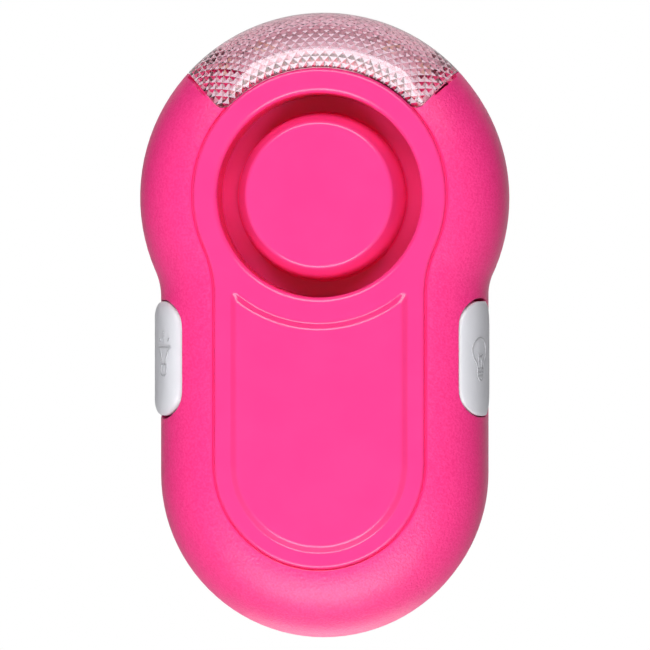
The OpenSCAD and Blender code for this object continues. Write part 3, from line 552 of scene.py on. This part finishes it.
def make_front_shell():
    """One closed moulding: rim, plateau, raised panel, the sounder's well and the wall behind it."""
    skin = Skin()
    outside = [skin.ring(inset(case_line, d, z)) for d, z in RIM_OUTSIDE]
    inside = [skin.ring(inset(case_line, d, z)) for d, z in RIM_INSIDE]
    skin.bands(outside)
    skin.bands(inside)
    skin.band(outside[0], inside[0])

    foot_z = [rim_height(x, y) for x, y, _, _ in plate_line]
    last = RIM_OUTSIDE[-1][0]
    between = [((a - last * u + c) / 2, (b - last * v + d) / 2)
               for (a, b, u, v), (c, d, _, _) in zip(case_line, plate_line)]
    skirt = skin.ring([(x, y, rim_height(x, y)) for x, y in between])
    apron_z = [rim_height(x + u * APRON, y + v * APRON) for x, y, u, v in plate_line]
    apron = skin.ring(inset(plate_line, -APRON, apron_z))
    skin.bands([outside[-1], skirt, apron])
    step = [apron] + [skin.ring(inset(plate_line, d, [h + (PLATE_Z - h) * share for h in foot_z]))
                      for d, share in PLATE_STEP]
    skin.bands(step, 1)

    # the sounder's well: a rounded mouth, a straight wall, the seat and the barrel round it
    mouth = [skin.ring(disc(GROOVE_R + GROOVE_MOUTH * (1 - sin(t)),
                            PLATE_Z - GROOVE_MOUTH * (1 - cos(t)))) for t in sweep(6, 0, pi / 2)]
    under = RIM_INSIDE[-1][1]
    well = mouth + [skin.ring(disc(r, z)) for r, z in [
        (GROOVE_R, GROOVE_FLOOR), (BARREL_IN_R, GROOVE_FLOOR), (BARREL_IN_R, BARREL_END),
        (BARREL_OUT_R, BARREL_END), (BARREL_OUT_R, under)]]
    skin.bands(mouth, 1)
    # the well's wall, seat and barrel take the deeper pink of painted shade
    skin.bands(well[len(mouth) - 1:], 2)

    panel = [skin.ring(panel_line(d, PLATE_Z + h)) for d, h in PANEL_STEP]
    skin.bands(panel, 1)
    skin.fill(panel[-1], finish=1)
    skin.fill(step[-1], mouth[0], panel[0], finish=1)
    skin.fill(inside[-1], well[-1])
    piece = make_piece("front_shell_moulding", skin, [pink_rim, pink_flat, well_pink_painted_shade])
    opening = lens_line(LENS_IN_R - LENS_GAP, LENS_END, LENS_CORNER, SLIT_WIDE)
    carve(piece, prism(opening, *THROUGH), "DIFFERENCE")
    for side in (-1, 1):
        carve(piece, button_hole(side), "DIFFERENCE")
    smooth(piece, CRISP)
    fit(piece, "case", "pink_plastic", "front_shell")


def make_lens_seat():
    """The case's walls at the two ends of the lens, which close its inside off from the light."""
    skin = Skin()
    radius, skin_r = LENS_IN_R - LENS_GAP, RIM_R - SEAT_SKIN
    inner = sqrt(radius ** 2 + 2 * radius * LENS_CORNER)
    along, start = way(LENS_END + LENS_LEAN), inner * way(LENS_END)
    aside = Vector((along.y, -along.x))

    def reach(r):
        """How far along the lens's end a distance r from the middle of the head is met."""
        back = start.dot(along)
        return -back + sqrt(back ** 2 - start.length_squared + r ** 2)

    top = acos((SEAT_IN_R - HEAD_R + RIM_R) / skin_r)
    profile = [(SEAT_IN_R, SEAT_FOOT), (HEAD_R - SEAT_SKIN, SEAT_FOOT)]
    profile += arc(16, 0, top, skin_r, HEAD_R - RIM_R, WALL_RISE)
    for side in (-1, 1):
        faces = []
        for off in (SEAT_BACK, SEAT_BACK + SEAT_THICK):
            places = [(start + along * reach(r) + aside * off, z) for r, z in profile]
            faces.append(skin.ring([(side * p.x, HEAD_Y + p.y, z) for p, z in places]))
        skin.solid(faces)
    piece = make_piece("lens_seat_walls", skin, [pink_flat])
    fit(piece, "case", "pink_plastic")


# ---------------- buttons
def side_surface(y, z, lift):
    """A point on the case's right side, raised by lift along the surface's own direction."""
    if z <= WALL_RISE:
        return (BODY_R + lift, y, z)
    turn = asin(min(1.0, (z - WALL_RISE) / RIM_R))
    reach = RIM_R + lift
    return (BODY_R - RIM_R + reach * cos(turn), y, WALL_RISE + reach * sin(turn))


def button_line(grow, longer=0.0, shift=0.0):
    """The button's outline seen from the side, y and z: four straight runs and four full, soft corners."""
    long, wide = BUTTON_LONG / 2 + grow + longer, BUTTON_WIDE / 2 + grow
    corner = max(0.05, BUTTON_CORNER + grow)
    upper = [(long - corner + corner * cos(a) ** BUTTON_FULL,
              side * (wide - corner + corner * abs(sin(a)) ** BUTTON_FULL))
             for side in (-1, 1) for a in sweep(10, (side - 1) * pi / 4, (side + 1) * pi / 4)]
    return [(BUTTON_Y + shift + y, BUTTON_Z + z) for y, z in upper + [(-y, -z) for y, z in upper]]


def button_hole(side):
    """The block that cuts a button's hole: straight inside, flared at the skin, which rounds the lip."""
    skin = Skin()

    def line(flare):
        return button_line(BUTTON_GAP + flare, BUTTON_END_GAP, side * BUTTON_SETTLE)

    def lip(y, z, lift):
        """Straight out along x to a height over the skin, so that the hole keeps its width inside."""
        here, higher = side_surface(y, z, 0.0)[0], side_surface(y, z, 1.0)[0]
        return (side * (here + lift / (higher - here)), y, z)

    deep = skin.ring([(side * HOLE_FROM, y, z) for y, z in line(0.0)])
    lips = [skin.ring([lip(y, z, lift) for y, z in line(flare)]) for flare, lift in HOLE_LIP]
    clear = skin.ring([(side * HOLE_TO, y, z) for y, z in line(HOLE_LIP[-1][0])])
    skin.solid([deep] + lips + [clear])
    return skin


def make_button(name, side, proud, round_off, body, node):
    """A pillow-shaped cap that follows the case's curve and stands proud of it."""
    skin = Skin()
    root = skin.ring([(side * (side_surface(y, z, 0.0)[0] - BUTTON_ROOT), y, z)
                      for y, z in button_line(0.0)])
    breadth, drop = round_off
    crown = [(breadth * (1 - cos(t)), proud - drop * (1 - sin(t)))
             for t in sweep(10, 0, pi / 2)]
    crown += [(depth, proud) for depth in BUTTON_TOP]
    rings = []
    for depth, lift in crown:
        places = [side_surface(y, z, lift) for y, z in button_line(-depth)]
        rings.append(skin.ring([(side * x, y, z) for x, y, z in places]))
    skin.bands([root] + rings)
    skin.fill(rings[-1])
    piece = make_piece(name, skin, [button_grey])
    fit(piece, body, "grey_white_plastic", node)


def stroke(skin, path, radius, flat=1.0, sides=8):
    """A rod along path, given as points and the way out of the surface; flat presses it down."""
    rings = []
    for k, (point, out) in enumerate(path):
        along = (Vector(path[min(k + 1, len(path) - 1)][0]) - Vector(path[max(k - 1, 0)][0])).normalized()
        across = along.cross(Vector(out)).normalized()
        spokes = [cos(a) * across + flat * sin(a) * Vector(out) for a in sweep(sides, 0, 2 * pi)[:-1]]
        rings.append(skin.ring([tuple(Vector(point) + radius * spoke) for spoke in spokes]))
    skin.bands(rings)
    skin.face(*rings[0])
    skin.face(*rings[-1])


def on_button(side, proud, forward, line):
    """Points along a flat drawing (y up, z to the front) laid on the button's crown."""
    path = []
    for (y0, z0), (y1, z1) in zip(line, line[1:]):
        pieces = max(1, round(hypot(y1 - y0, z1 - z0) / MARK_STEP))
        path += [(y0 + (y1 - y0) * k / pieces, z0 + (z1 - z0) * k / pieces) for k in range(pieces)]
    path.append(line[-1])
    laid = []
    for y, z in path:
        low, high = [Vector(side_surface(BUTTON_Y + y, BUTTON_Z + forward + z, lift))
                     for lift in (proud, ABOVE_SKIN)]
        out = (high - low).normalized()
        laid.append(((side * low.x, low.y, low.z), (side * out.x, out.y, out.z)))
    return laid


BULB = [  # y up and z to the front: glass, rings of the cap, its outline, the filament
    [(-1.25, 0.55), (-0.55, 0.75), (0.1, 1.2)]
    + [(1.05 + 1.6 * sin(a), 1.42 * cos(a))
       for a in sweep(16, radians(-20), radians(200))]
    + [(0.1, -1.2), (-0.55, -0.75), (-1.25, -0.55)],
    [(-1.25, 0.6), (-1.25, -0.6)], [(-1.7, 0.58), (-1.7, -0.58)], [(-2.15, 0.5), (-2.15, -0.5)],
    [(-1.25, 0.6), (-2.3, 0.5), (-2.75, 0.15), (-2.75, -0.15), (-2.3, -0.5), (-1.25, -0.6)],
    [(-1.25, 0.25), (0.5, 0.45), (0.2, 0.0), (0.5, -0.45), (-1.25, -0.25)],
]
HORN = [  # the horn's mouth and its two sides, the grip, four short marks of sound
    [(1.45, 1.15), (1.45, -1.15)],
    [(1.45, 1.0), (0.9, 0.75), (0.1, 0.45), (-0.7, 0.32)],
    [(1.45, -1.0), (0.9, -0.75), (0.1, -0.45), (-0.7, -0.32)],
    [(-0.7, 0.5), (-0.7, -0.5)],
    [(-0.7, 0.5), (-1.9, 0.5), (-2.15, 0.25), (-2.15, -0.25), (-1.9, -0.5), (-0.7, -0.5)],
    [(2.3, 0.0), (2.7, 0.0)], [(3.2, 0.0), (3.55, 0.0)],
    [(2.25, 0.75), (2.6, 0.95)], [(2.25, -0.75), (2.6, -0.95)],
]


def make_pictogram(name, side, proud, forward, body, lines):
    """A drawing in thin raised lines on a button."""
    skin = Skin()
    for line in lines:
        stroke(skin, on_button(side, proud, forward, line), MARK_RADIUS, MARK_FLAT)
    # the lines' darker grey is painted shade
    piece = make_piece(name, skin, [mark_grey_painted_shade])
    fit(piece, body, "grey_white_plastic")


# ---------------- lamps and tray
def make_lamps():
    """Two white lamp packages, each a block with a round cup of phosphor."""
    skin = Skin()
    for middle in LAMP_TURNS:
        across, out = way(middle - pi / 2), way(middle)  # round the head, and outwards

        def at(u, v, z):
            return (*(Vector((0, HEAD_Y)) + (LAMP_RING_R + v) * out + u * across), z)

        def housing(shrink, z):
            half, side = LAMP_LONG / 2 - shrink - LAMP_CORNER, LAMP_WIDE / 2 - shrink - LAMP_CORNER
            corners = ((1, 1), (-1, 1), (-1, -1), (1, -1))
            return skin.ring([at(u, v, z) for k, (sx, sy) in enumerate(corners) for u, v in arc(
                5, k * pi / 2, (k + 1) * pi / 2, LAMP_CORNER, sx * half, sy * side)])

        sides = [housing(0.0, LAMP_FOOT), housing(0.0, LAMP_TOP - LAMP_EDGE), housing(LAMP_EDGE, LAMP_TOP)]
        cup = [skin.ring([at(u, v, z) for u, v in arc(24, pi / 4, 2.25 * pi, r)[:-1]])
               for r, z in ((CUP_R, LAMP_TOP), (CUP_FLOOR_R, LAMP_TOP - CUP_DEEP))]
        skin.bands(sides)
        skin.fill(sides[0])
        skin.band(cup[0], cup[1])
        skin.fill(cup[1], finish=1)
        skin.fill(sides[2], cup[0])
    piece = make_piece("lamp_packages", skin, [lamp_white, phosphor])
    fit(piece, "case", "phosphor", "led_lamps")


def make_tray():
    """The white bowl under the lens: two windows for the lamps, and a back that climbs to the ends."""
    skin = Skin()
    first = pi / 2 - TRAY_HALF

    def dish(turn):
        """The bowl's section at an angle round the head: distance from its middle, and height."""
        climb = (abs(turn - pi / 2) - TRAY_RAMP[0]) / (TRAY_RAMP[1] - TRAY_RAMP[0])
        climb = min(1.0, max(0.0, climb))
        back = TRAY_BACK_LOW + (TRAY_BACK_HIGH - TRAY_BACK_LOW) * climb * climb * (3 - 2 * climb)
        slope = TRAY_FLOOR + TRAY_SLOPE
        return [(TRAY_IN_R, TRAY_UNDER), (TRAY_OUT_R, TRAY_UNDER), (TRAY_OUT_R, TRAY_LIP),
                (TRAY_OUT_R - TRAY_LIP_WIDE, TRAY_LIP), (TRAY_OUT_R - TRAY_LIP_FOOT[0], slope),
                (TRAY_OUT_R - TRAY_LIP_FOOT[1], TRAY_FLOOR), (TRAY_IN_R + TRAY_BACK_FOOT[1], TRAY_FLOOR),
                (TRAY_IN_R + TRAY_BACK_FOOT[0], slope), (TRAY_IN_R + TRAY_BACK_WIDE, back),
                (TRAY_IN_R, back)]

    rings = [skin.ring([(r * cos(a), HEAD_Y + r * sin(a), z) for r, z in dish(a)])
             for a in sweep(60, first, pi - first)]
    skin.solid(rings)
    piece = make_piece("light_tray_dish", skin, [tray_white])
    for middle in LAMP_TURNS:
        across, out = way(middle - pi / 2), way(middle)  # round the head, and outwards
        window = [Vector((0, HEAD_Y)) + out * (LAMP_RING_R + v * WINDOW_SIDE) + across * u * WINDOW_HALF
                  for u, v in ((-1, -1), (1, -1), (1, 1), (-1, 1))]
        hole = prism([tuple(w) for w in window], TRAY_UNDER - WINDOW_UNDER, TRAY_FLOOR + WINDOW_OVER)
        carve(piece, hole, "DIFFERENCE")
    smooth(piece, CRISP)
    fit(piece, "case", "white_reflector", "light_tray")


# ---------------- sounder cap
def make_sounder_cap():
    """The hollow boss in the well, with two long ports low in its wall, and the well's floor."""
    skin = Skin()
    spread, rise = BOSS_FOOT_R - BOSS_TOP_R, BOSS_Z - GROOVE_FLOOR
    lean = atan(2 * spread / rise)  # the wall's lean at its top; it curves to upright at its foot
    tangent = BOSS_EDGE * tan(pi / 4 - lean / 2)
    profile = [(BOSS_TOP_R - tangent + BOSS_EDGE * sin(t), BOSS_Z - BOSS_EDGE + BOSS_EDGE * cos(t))
               for t in sweep(6, 0, pi / 2 - lean)]
    profile += [(BOSS_FOOT_R - spread * s * s, GROOVE_FLOOR + rise * s) for s in BOSS_WALL]
    profile += [(BOSS_FOOT_R + out, GROOVE_FLOOR + up) for out, up in BOSS_FILLET]
    inside_r = BOSS_FOOT_R - BOSS_SKIN
    profile += [(FLANGE_R, GROOVE_FLOOR), (FLANGE_R, FLANGE_UNDER), (inside_r, FLANGE_UNDER),
                (inside_r, GROOVE_FLOOR), (BOSS_TOP_R - BOSS_SKIN, BOSS_Z - BOSS_SKIN)]
    rings = [skin.ring(disc(r, z, BOSS_COLUMNS)) for r, z in profile]
    skin.solid(rings)
    piece = make_piece("sounder_boss", skin, [pink_flat])
    sill = GROOVE_FLOOR + PORT_SILL
    for middle in (pi / 2, 3 * pi / 2):
        from_a, to_a = middle - PORT_HALF, middle + PORT_HALF
        port = arc(40, from_a, to_a, BOSS_FOOT_R + PORT_OUT, 0.0, HEAD_Y)
        port += arc(40, from_a, to_a, inside_r - PORT_IN, 0.0, HEAD_Y)[::-1]
        carve(piece, prism(port, sill, sill + PORT_HIGH), "DIFFERENCE")
    smooth(piece, CRISP)
    fit(piece, "case", "pink_plastic", "sounder_cap")


# ---------------- light lens
def crown_point(run, depth):
    """Depth and height on the crown's section, a run of mm up from the parting plane, under the skin."""
    if run <= WALL_RISE:
        return depth, run
    t = (run - WALL_RISE) / RIM_R
    return RIM_R - (RIM_R - depth) * cos(t), WALL_RISE + (RIM_R - depth) * sin(t)


def make_lens():
    """The clear crown: smooth outside, rows of four-sided prisms inside, plain strips at the ends."""
    skin = Skin()
    end = LENS_END + LENS_GAP / LENS_MID_R
    first, final = end + LENS_EDGE, pi - end - LENS_EDGE
    across = 2 * round((pi - 2 * first) * LENS_MID_R / PRISM_WIDE / 2)
    angles = [end - LENS_OVER] + sweep(across, first, final) + [pi - end + LENS_OVER]
    full = WALL_RISE + RIM_R * LENS_TOP
    along = 2 * round(full / PRISM_TALL / 2)
    last = len(angles) - 1

    def row(run, depth, wave=None):
        points = []
        for i, a in enumerate(angles):
            high = wave is not None and (i + wave) % 2 and 0 < i < last
            d, z = crown_point(run, depth + (PRISM_HIGH if high else 0.0))
            radius = HEAD_R - d
            points.append((radius * cos(a), HEAD_Y + radius * sin(a), z))
        return skin.ring(points)

    runs = sweep(along, LENS_FOOT, full)
    outside = [row(r, 0.0) for r in runs]
    inside = [row(r, LENS_THICK, k) for k, r in enumerate(runs)]
    skin.bands(outside, closed=False)
    for k in range(along):
        for i in range(last):
            a, b, c, d = inside[k][i], inside[k][i + 1], inside[k + 1][i + 1], inside[k + 1][i]
            for three in ((a, b, d), (b, c, d)) if (i + k) % 2 else ((a, b, c), (a, c, d)):
                skin.face(*three)
    skin.band(outside[0], inside[0], closed=False)
    skin.band(outside[-1], inside[-1], closed=False)
    for column in (0, last):
        skin.band([r[column] for r in outside], [r[column] for r in inside], closed=False)
    piece = make_piece("lens_with_prisms", skin, [lens_clear])
    carve(piece, prism(lens_line(LENS_IN_R, end, LENS_CORNER - LENS_GAP), *THROUGH), "INTERSECT")
    smooth(piece, LENS_CRISP)
    piece.visible_shadow = False  # clear enough to let the light straight through to the tray
    fit(piece, "case", "clear_plastic", "light_lens")


# ---------------- belt clip
def behind(x, y, out):
    """A point behind the case: out is its distance from the flat back."""
    return (x, y, BACK_Z - out)


def soften(line, radius, count=5):
    """The corners of a flat outline rounded off; radius is one for each corner."""
    made = []
    for k, corner in enumerate(line):
        here, back, ahead = Vector(corner), Vector(line[k - 1]), Vector(line[(k + 1) % len(line)])
        way_in, way_out = (here - back).normalized(), (ahead - here).normalized()
        half = way_in.angle(way_out) / 2
        cut = radius[k] * tan(half)
        first, last = here - way_in * cut, here + way_out * cut
        for t in sweep(count, 0, 1):
            made.append(tuple(first * (1 - t) ** 2 + here * 2 * t * (1 - t) + last * t ** 2))
    return made


def across_case(line, low, high):
    """A block with its outline given in y and distance from the back, from low to high along x."""
    return block([[behind(x, y, out) for y, out in line] for x in (low, high)])


def round_edges(piece, width, turn):
    """Rounds every edge whose faces turn more than turn degrees."""
    work = bmesh.new()
    work.from_mesh(piece.data)
    bmesh.ops.dissolve_limit(work, angle_limit=radians(FLAT_TURN), verts=work.verts, edges=work.edges)
    edges = [e for e in work.edges if e.is_manifold and e.calc_face_angle() > radians(turn)]
    bmesh.ops.bevel(work, geom=edges, offset=width * MM, offset_type="OFFSET", segments=3, profile=0.5,
                    affect="EDGES", clamp_overlap=True)
    work.to_mesh(piece.data)
    work.free()


def make_clip_lever():
    """The lever: a jaw at its lower end, two lugs on the pin, a flared thumb end with ridges."""
    side = soften([(y, out) for y, out, _ in LEVER_SIDE], [turn for _, _, turn in LEVER_SIDE])
    piece = make_piece("clip_lever_moulding", across_case(side, -LEVER_HALF, LEVER_HALF), [pink_rim])
    corners = [(LEVER_HALF, LEVER_LOW), (LEVER_HALF, LEVER_HIGH),
               (-LEVER_HALF, LEVER_HIGH), (-LEVER_HALF, LEVER_LOW)]
    carve(piece, prism(soften(corners, [LEVER_CORNER] * 4, 8), *LEVER_ROOM), "INTERSECT")
    lug = arc(20, pi, 2 * pi, LUG_R, PIN_Y, PIN_OUT)
    lug += [(PIN_Y + LUG_R + LUG_FLARE, LUG_TOP), (PIN_Y - LUG_R - LUG_FLARE, LUG_TOP)]
    for low, high in ((-LEVER_HALF + LUG_SHY, -LUG_IN), (LUG_IN, LEVER_HALF - LUG_SHY)):
        carve(piece, across_case(lug, low, high), "UNION")
    bore = arc(28, 0, 2 * pi, PIN_BORE_R, PIN_Y, PIN_OUT)[:-1]
    carve(piece, across_case(bore, -BORE_HALF, BORE_HALF), "DIFFERENCE")
    round_edges(piece, LEVER_EDGE, LEVER_CRISP)
    smooth(piece, LEVER_CRISP)
    fit(piece, "clip", "pink_plastic", "clip_lever")

    skin = Skin()
    for y in RIDGE_YS:
        out = THUMB_OUT + THUMB_RISE * (y - THUMB_Y) / (LEVER_HIGH - THUMB_Y)
        path = [(behind(RIDGE_HALF * e, y, out), (0.0, 0.0, -1.0)) for e in sweep(10, -1, 1)]
        stroke(skin, path, RIDGE_R, RIDGE_FLAT, sides=12)
    piece = make_piece("thumb_ridges", skin, [pink_rim])
    fit(piece, "clip", "pink_plastic")


def make_clip_spring():
    """The torsion spring on the pin: one leg on the case, one under the lever, wound up between them."""
    path = [(COIL_HALF, PIN_Y - COIL_LEG * (1 - t), LEG_FOOT + (PIN_OUT - COIL_R - LEG_FOOT) * t ** LEG_BOW)
            for t in sweep(LEG_STEPS, 0, 1)[:-1]]
    for t in sweep(round(COIL_TURNS * COIL_STEPS), 0.0, 1.0):
        a = 2 * pi * (COIL_TURNS * t - 0.25)
        path.append((COIL_HALF * (1 - 2 * t), PIN_Y + COIL_R * cos(a), PIN_OUT + COIL_R * sin(a)))
    path += [(-COIL_HALF, PIN_Y - COIL_LEG * t, PIN_OUT + COIL_R + LEG_LEAN * t)
             for t in sweep(LEG_STEPS, 0, 1)[1:]]
    skin = Skin()
    stroke(skin, [(behind(*p), (1.0, 0.0, 0.0)) for p in path], COIL_WIRE / 2, sides=10)
    piece = make_piece("clip_spring_wire", skin, [spring_wire])
    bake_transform(piece)
    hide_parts("clip_spring")


# ---------------- pieces that keep their CAD shape
KEPT = {
    "rear_shell": pink_rim, "battery_door": pink_rim, "led_board": board_white,
    "sounder_gasket": rubber, "piezo_plate": brass, "piezo_ceramic": ceramic,
    "main_board": board_green, "controller_chip": chip_black, "drive_transistor": chip_black,
    "capacitor": can, "coil_core": ferrite, "coil_winding": copper, "alarm_switch": chip_black,
    "light_switch": chip_black,
    "alarm_stem": ivory, "light_stem": ivory, "board_screws": plated, "case_screws": plated,
    "battery_cells": nickel, "battery_jackets": jacket, "bridge_plate": nickel, "positive_plate": nickel,
    "negative_plate": nickel, "contact_springs": nickel, "clip_pin": plated,
}


def finish_kept():
    for name, finish in KEPT.items():
        piece = bpy.data.objects[name]
        piece.data.materials.clear()
        piece.data.materials.append(finish)


# ---------------- stage
FLOOR_DOWN, FLOOR_HALF = -0.9, 12.0  # metres; the alarm is held up clear of it, its shadow out of view
# Matt white paper: even, with a trace of fibre
floor_paper = moulded("Paper white, rolled matt", "#F6F6F6", "#F3F3F3", 0.8, 1.0, 0.02)
FLOOR_GLOW, FLOOR_MIRRORED = 0.94, 0.3  # what the camera, and mirrors, see of it besides the light on it
CLEAR_LEVEL = 0.92  # how white the room looks through the clear lens
MATT_LEVEL = 0.2  # how much of the room's light reaches what doesn't mirror it
# parts of the room: between which shares of a direction, and the level of light at each end
RANGE = ("From Min", "From Max", "To Min", "To Max")
FLAGS = (0.2, 0.7, 1.0, 0.08)  # black flags at both sides and above
CAMERA_END = (-0.95, -0.4, 0.12, 1.0)  # the dim end of the room, round the camera
BACK_WALL = (0.86, 0.97, 1.0, 0.4)  # the grey wall straight behind the alarm
SOFTBOXES = [  # name, place in metres, width, height, watts, and whether its reflection shows
    ("softbox above", (0.0, -0.55, 0.50), 0.72, 0.36, 4.9, True),
    ("softbox below", (0.0, -0.55, -0.50), 0.72, 0.36, 5.0, True),
    ("fill from the left", (-0.75, -0.35, 0.0), 0.3, 0.5, 0.7, False),
    ("fill from the right", (0.75, -0.35, 0.0), 0.3, 0.5, 0.25, False),
    ("glow under the foot", (0.0, 0.55, -0.62), 0.6, 0.5, 1.5, True),
    ("softbox behind, high", (0.0, 0.62, 0.34), 0.5, 0.3, 4.0, False),
    ("softbox behind, low", (0.0, 0.62, -0.34), 0.5, 0.3, 3.0, False),
]


def make_room():
    """A white room to the camera; to the gloss, a studio with flags, a dim end and a grey back wall."""
    world = bpy.data.worlds.new("white studio")
    bpy.context.scene.world = world
    world.use_nodes = True
    tree = world.node_tree
    tree.nodes.clear()
    path = add(tree, "LightPath").outputs
    look = add(tree, "SeparateXYZ", {"Vector": add(tree, "TexCoord").outputs["Generated"]}).outputs
    aside = add(tree, "Math", {0: look["X"]}, operation="ABSOLUTE")
    around = add(tree, "Math", {0: aside.outputs[0], 1: look["Z"]}, operation="MAXIMUM")
    flags, room, wall = [
        add(tree, "MapRange", {"Value": share, **dict(zip(RANGE, ends))}).outputs["Result"]
        for share, ends in ((around.outputs[0], FLAGS), (look["Y"], CAMERA_END), (look["Y"], BACK_WALL))]
    lit = add(tree, "Math", {0: flags, 1: room}, operation="MULTIPLY")
    studio = add(tree, "Math", {0: lit.outputs[0], 1: wall}, operation="MULTIPLY")
    level = add(tree, "MapRange", {"Value": path["Is Glossy Ray"], "To Min": MATT_LEVEL, "To Max": 1.0})
    dimmed = add(tree, "Math", {0: studio.outputs[0], 1: level.outputs["Result"]}, operation="MULTIPLY")
    through = add(tree, "Math", {0: path["Is Transmission Ray"], 1: CLEAR_LEVEL}, operation="MULTIPLY")
    seen = add(tree, "Math", {0: through.outputs[0], 1: path["Is Camera Ray"]}, operation="MAXIMUM")
    strength = add(tree, "Math", {0: dimmed.outputs[0], 1: seen.outputs[0]}, operation="MAXIMUM")
    sky = add(tree, "Background", {"Color": linear("#FFFFFF"), "Strength": strength.outputs[0]})
    add(tree, "OutputWorld", {"Surface": sky.outputs["Background"]})


def make_floor():
    """A wide sheet of paper; it glows a little to the camera, so that it joins the white room."""
    floor = bpy.data.meshes.new("floor")
    square = ((-1, -1), (1, -1), (1, 1), (-1, 1))
    corners = [(FLOOR_HALF * x, FLOOR_HALF * y, FLOOR_DOWN) for x, y in square]
    floor.from_pydata(corners, [], [(0, 1, 2, 3)])
    floor.materials.append(floor_paper)
    sheet = floor_paper.node_tree
    rays = add(sheet, "LightPath").outputs
    mirrors = add(sheet, "Math", {0: rays["Is Glossy Ray"], 1: rays["Is Transmission Ray"]},
                  operation="MAXIMUM")
    dulled = add(sheet, "Math", {0: mirrors.outputs[0], 1: FLOOR_MIRRORED}, operation="MULTIPLY")
    bright = add(sheet, "Math", {0: rays["Is Camera Ray"], 1: FLOOR_GLOW}, operation="MULTIPLY")
    glow = add(sheet, "Math", {0: dulled.outputs[0], 1: bright.outputs[0]}, operation="MAXIMUM")
    paper = next(n for n in sheet.nodes if n.type == "BSDF_PRINCIPLED")
    paper.inputs["Emission Color"].default_value = linear("#FFFFFF")
    sheet.links.new(glow.outputs[0], paper.inputs["Emission Strength"])
    add_object("floor", floor)


set_camera()
make_room()
make_floor()
for softbox in SOFTBOXES:
    add_softbox(*softbox)
bpy.context.scene.view_settings.view_transform = "Standard"

make_front_shell()
make_lens_seat()
make_button("alarm_button_cap", -1, ALARM_PROUD, ALARM_CROWN, "siren_push", "alarm_button")
make_button("light_button_cap", 1, LIGHT_PROUD, LIGHT_CROWN, "light_push", "light_button")
make_pictogram("horn_mark", -1, ALARM_PROUD, HORN_FORWARD, "siren_push", HORN)
make_pictogram("bulb_mark", 1, LIGHT_PROUD, BULB_FORWARD, "light_push", BULB)
make_lamps()
make_tray()
make_sounder_cap()
make_lens()
make_clip_lever()
make_clip_spring()
finish_kept()
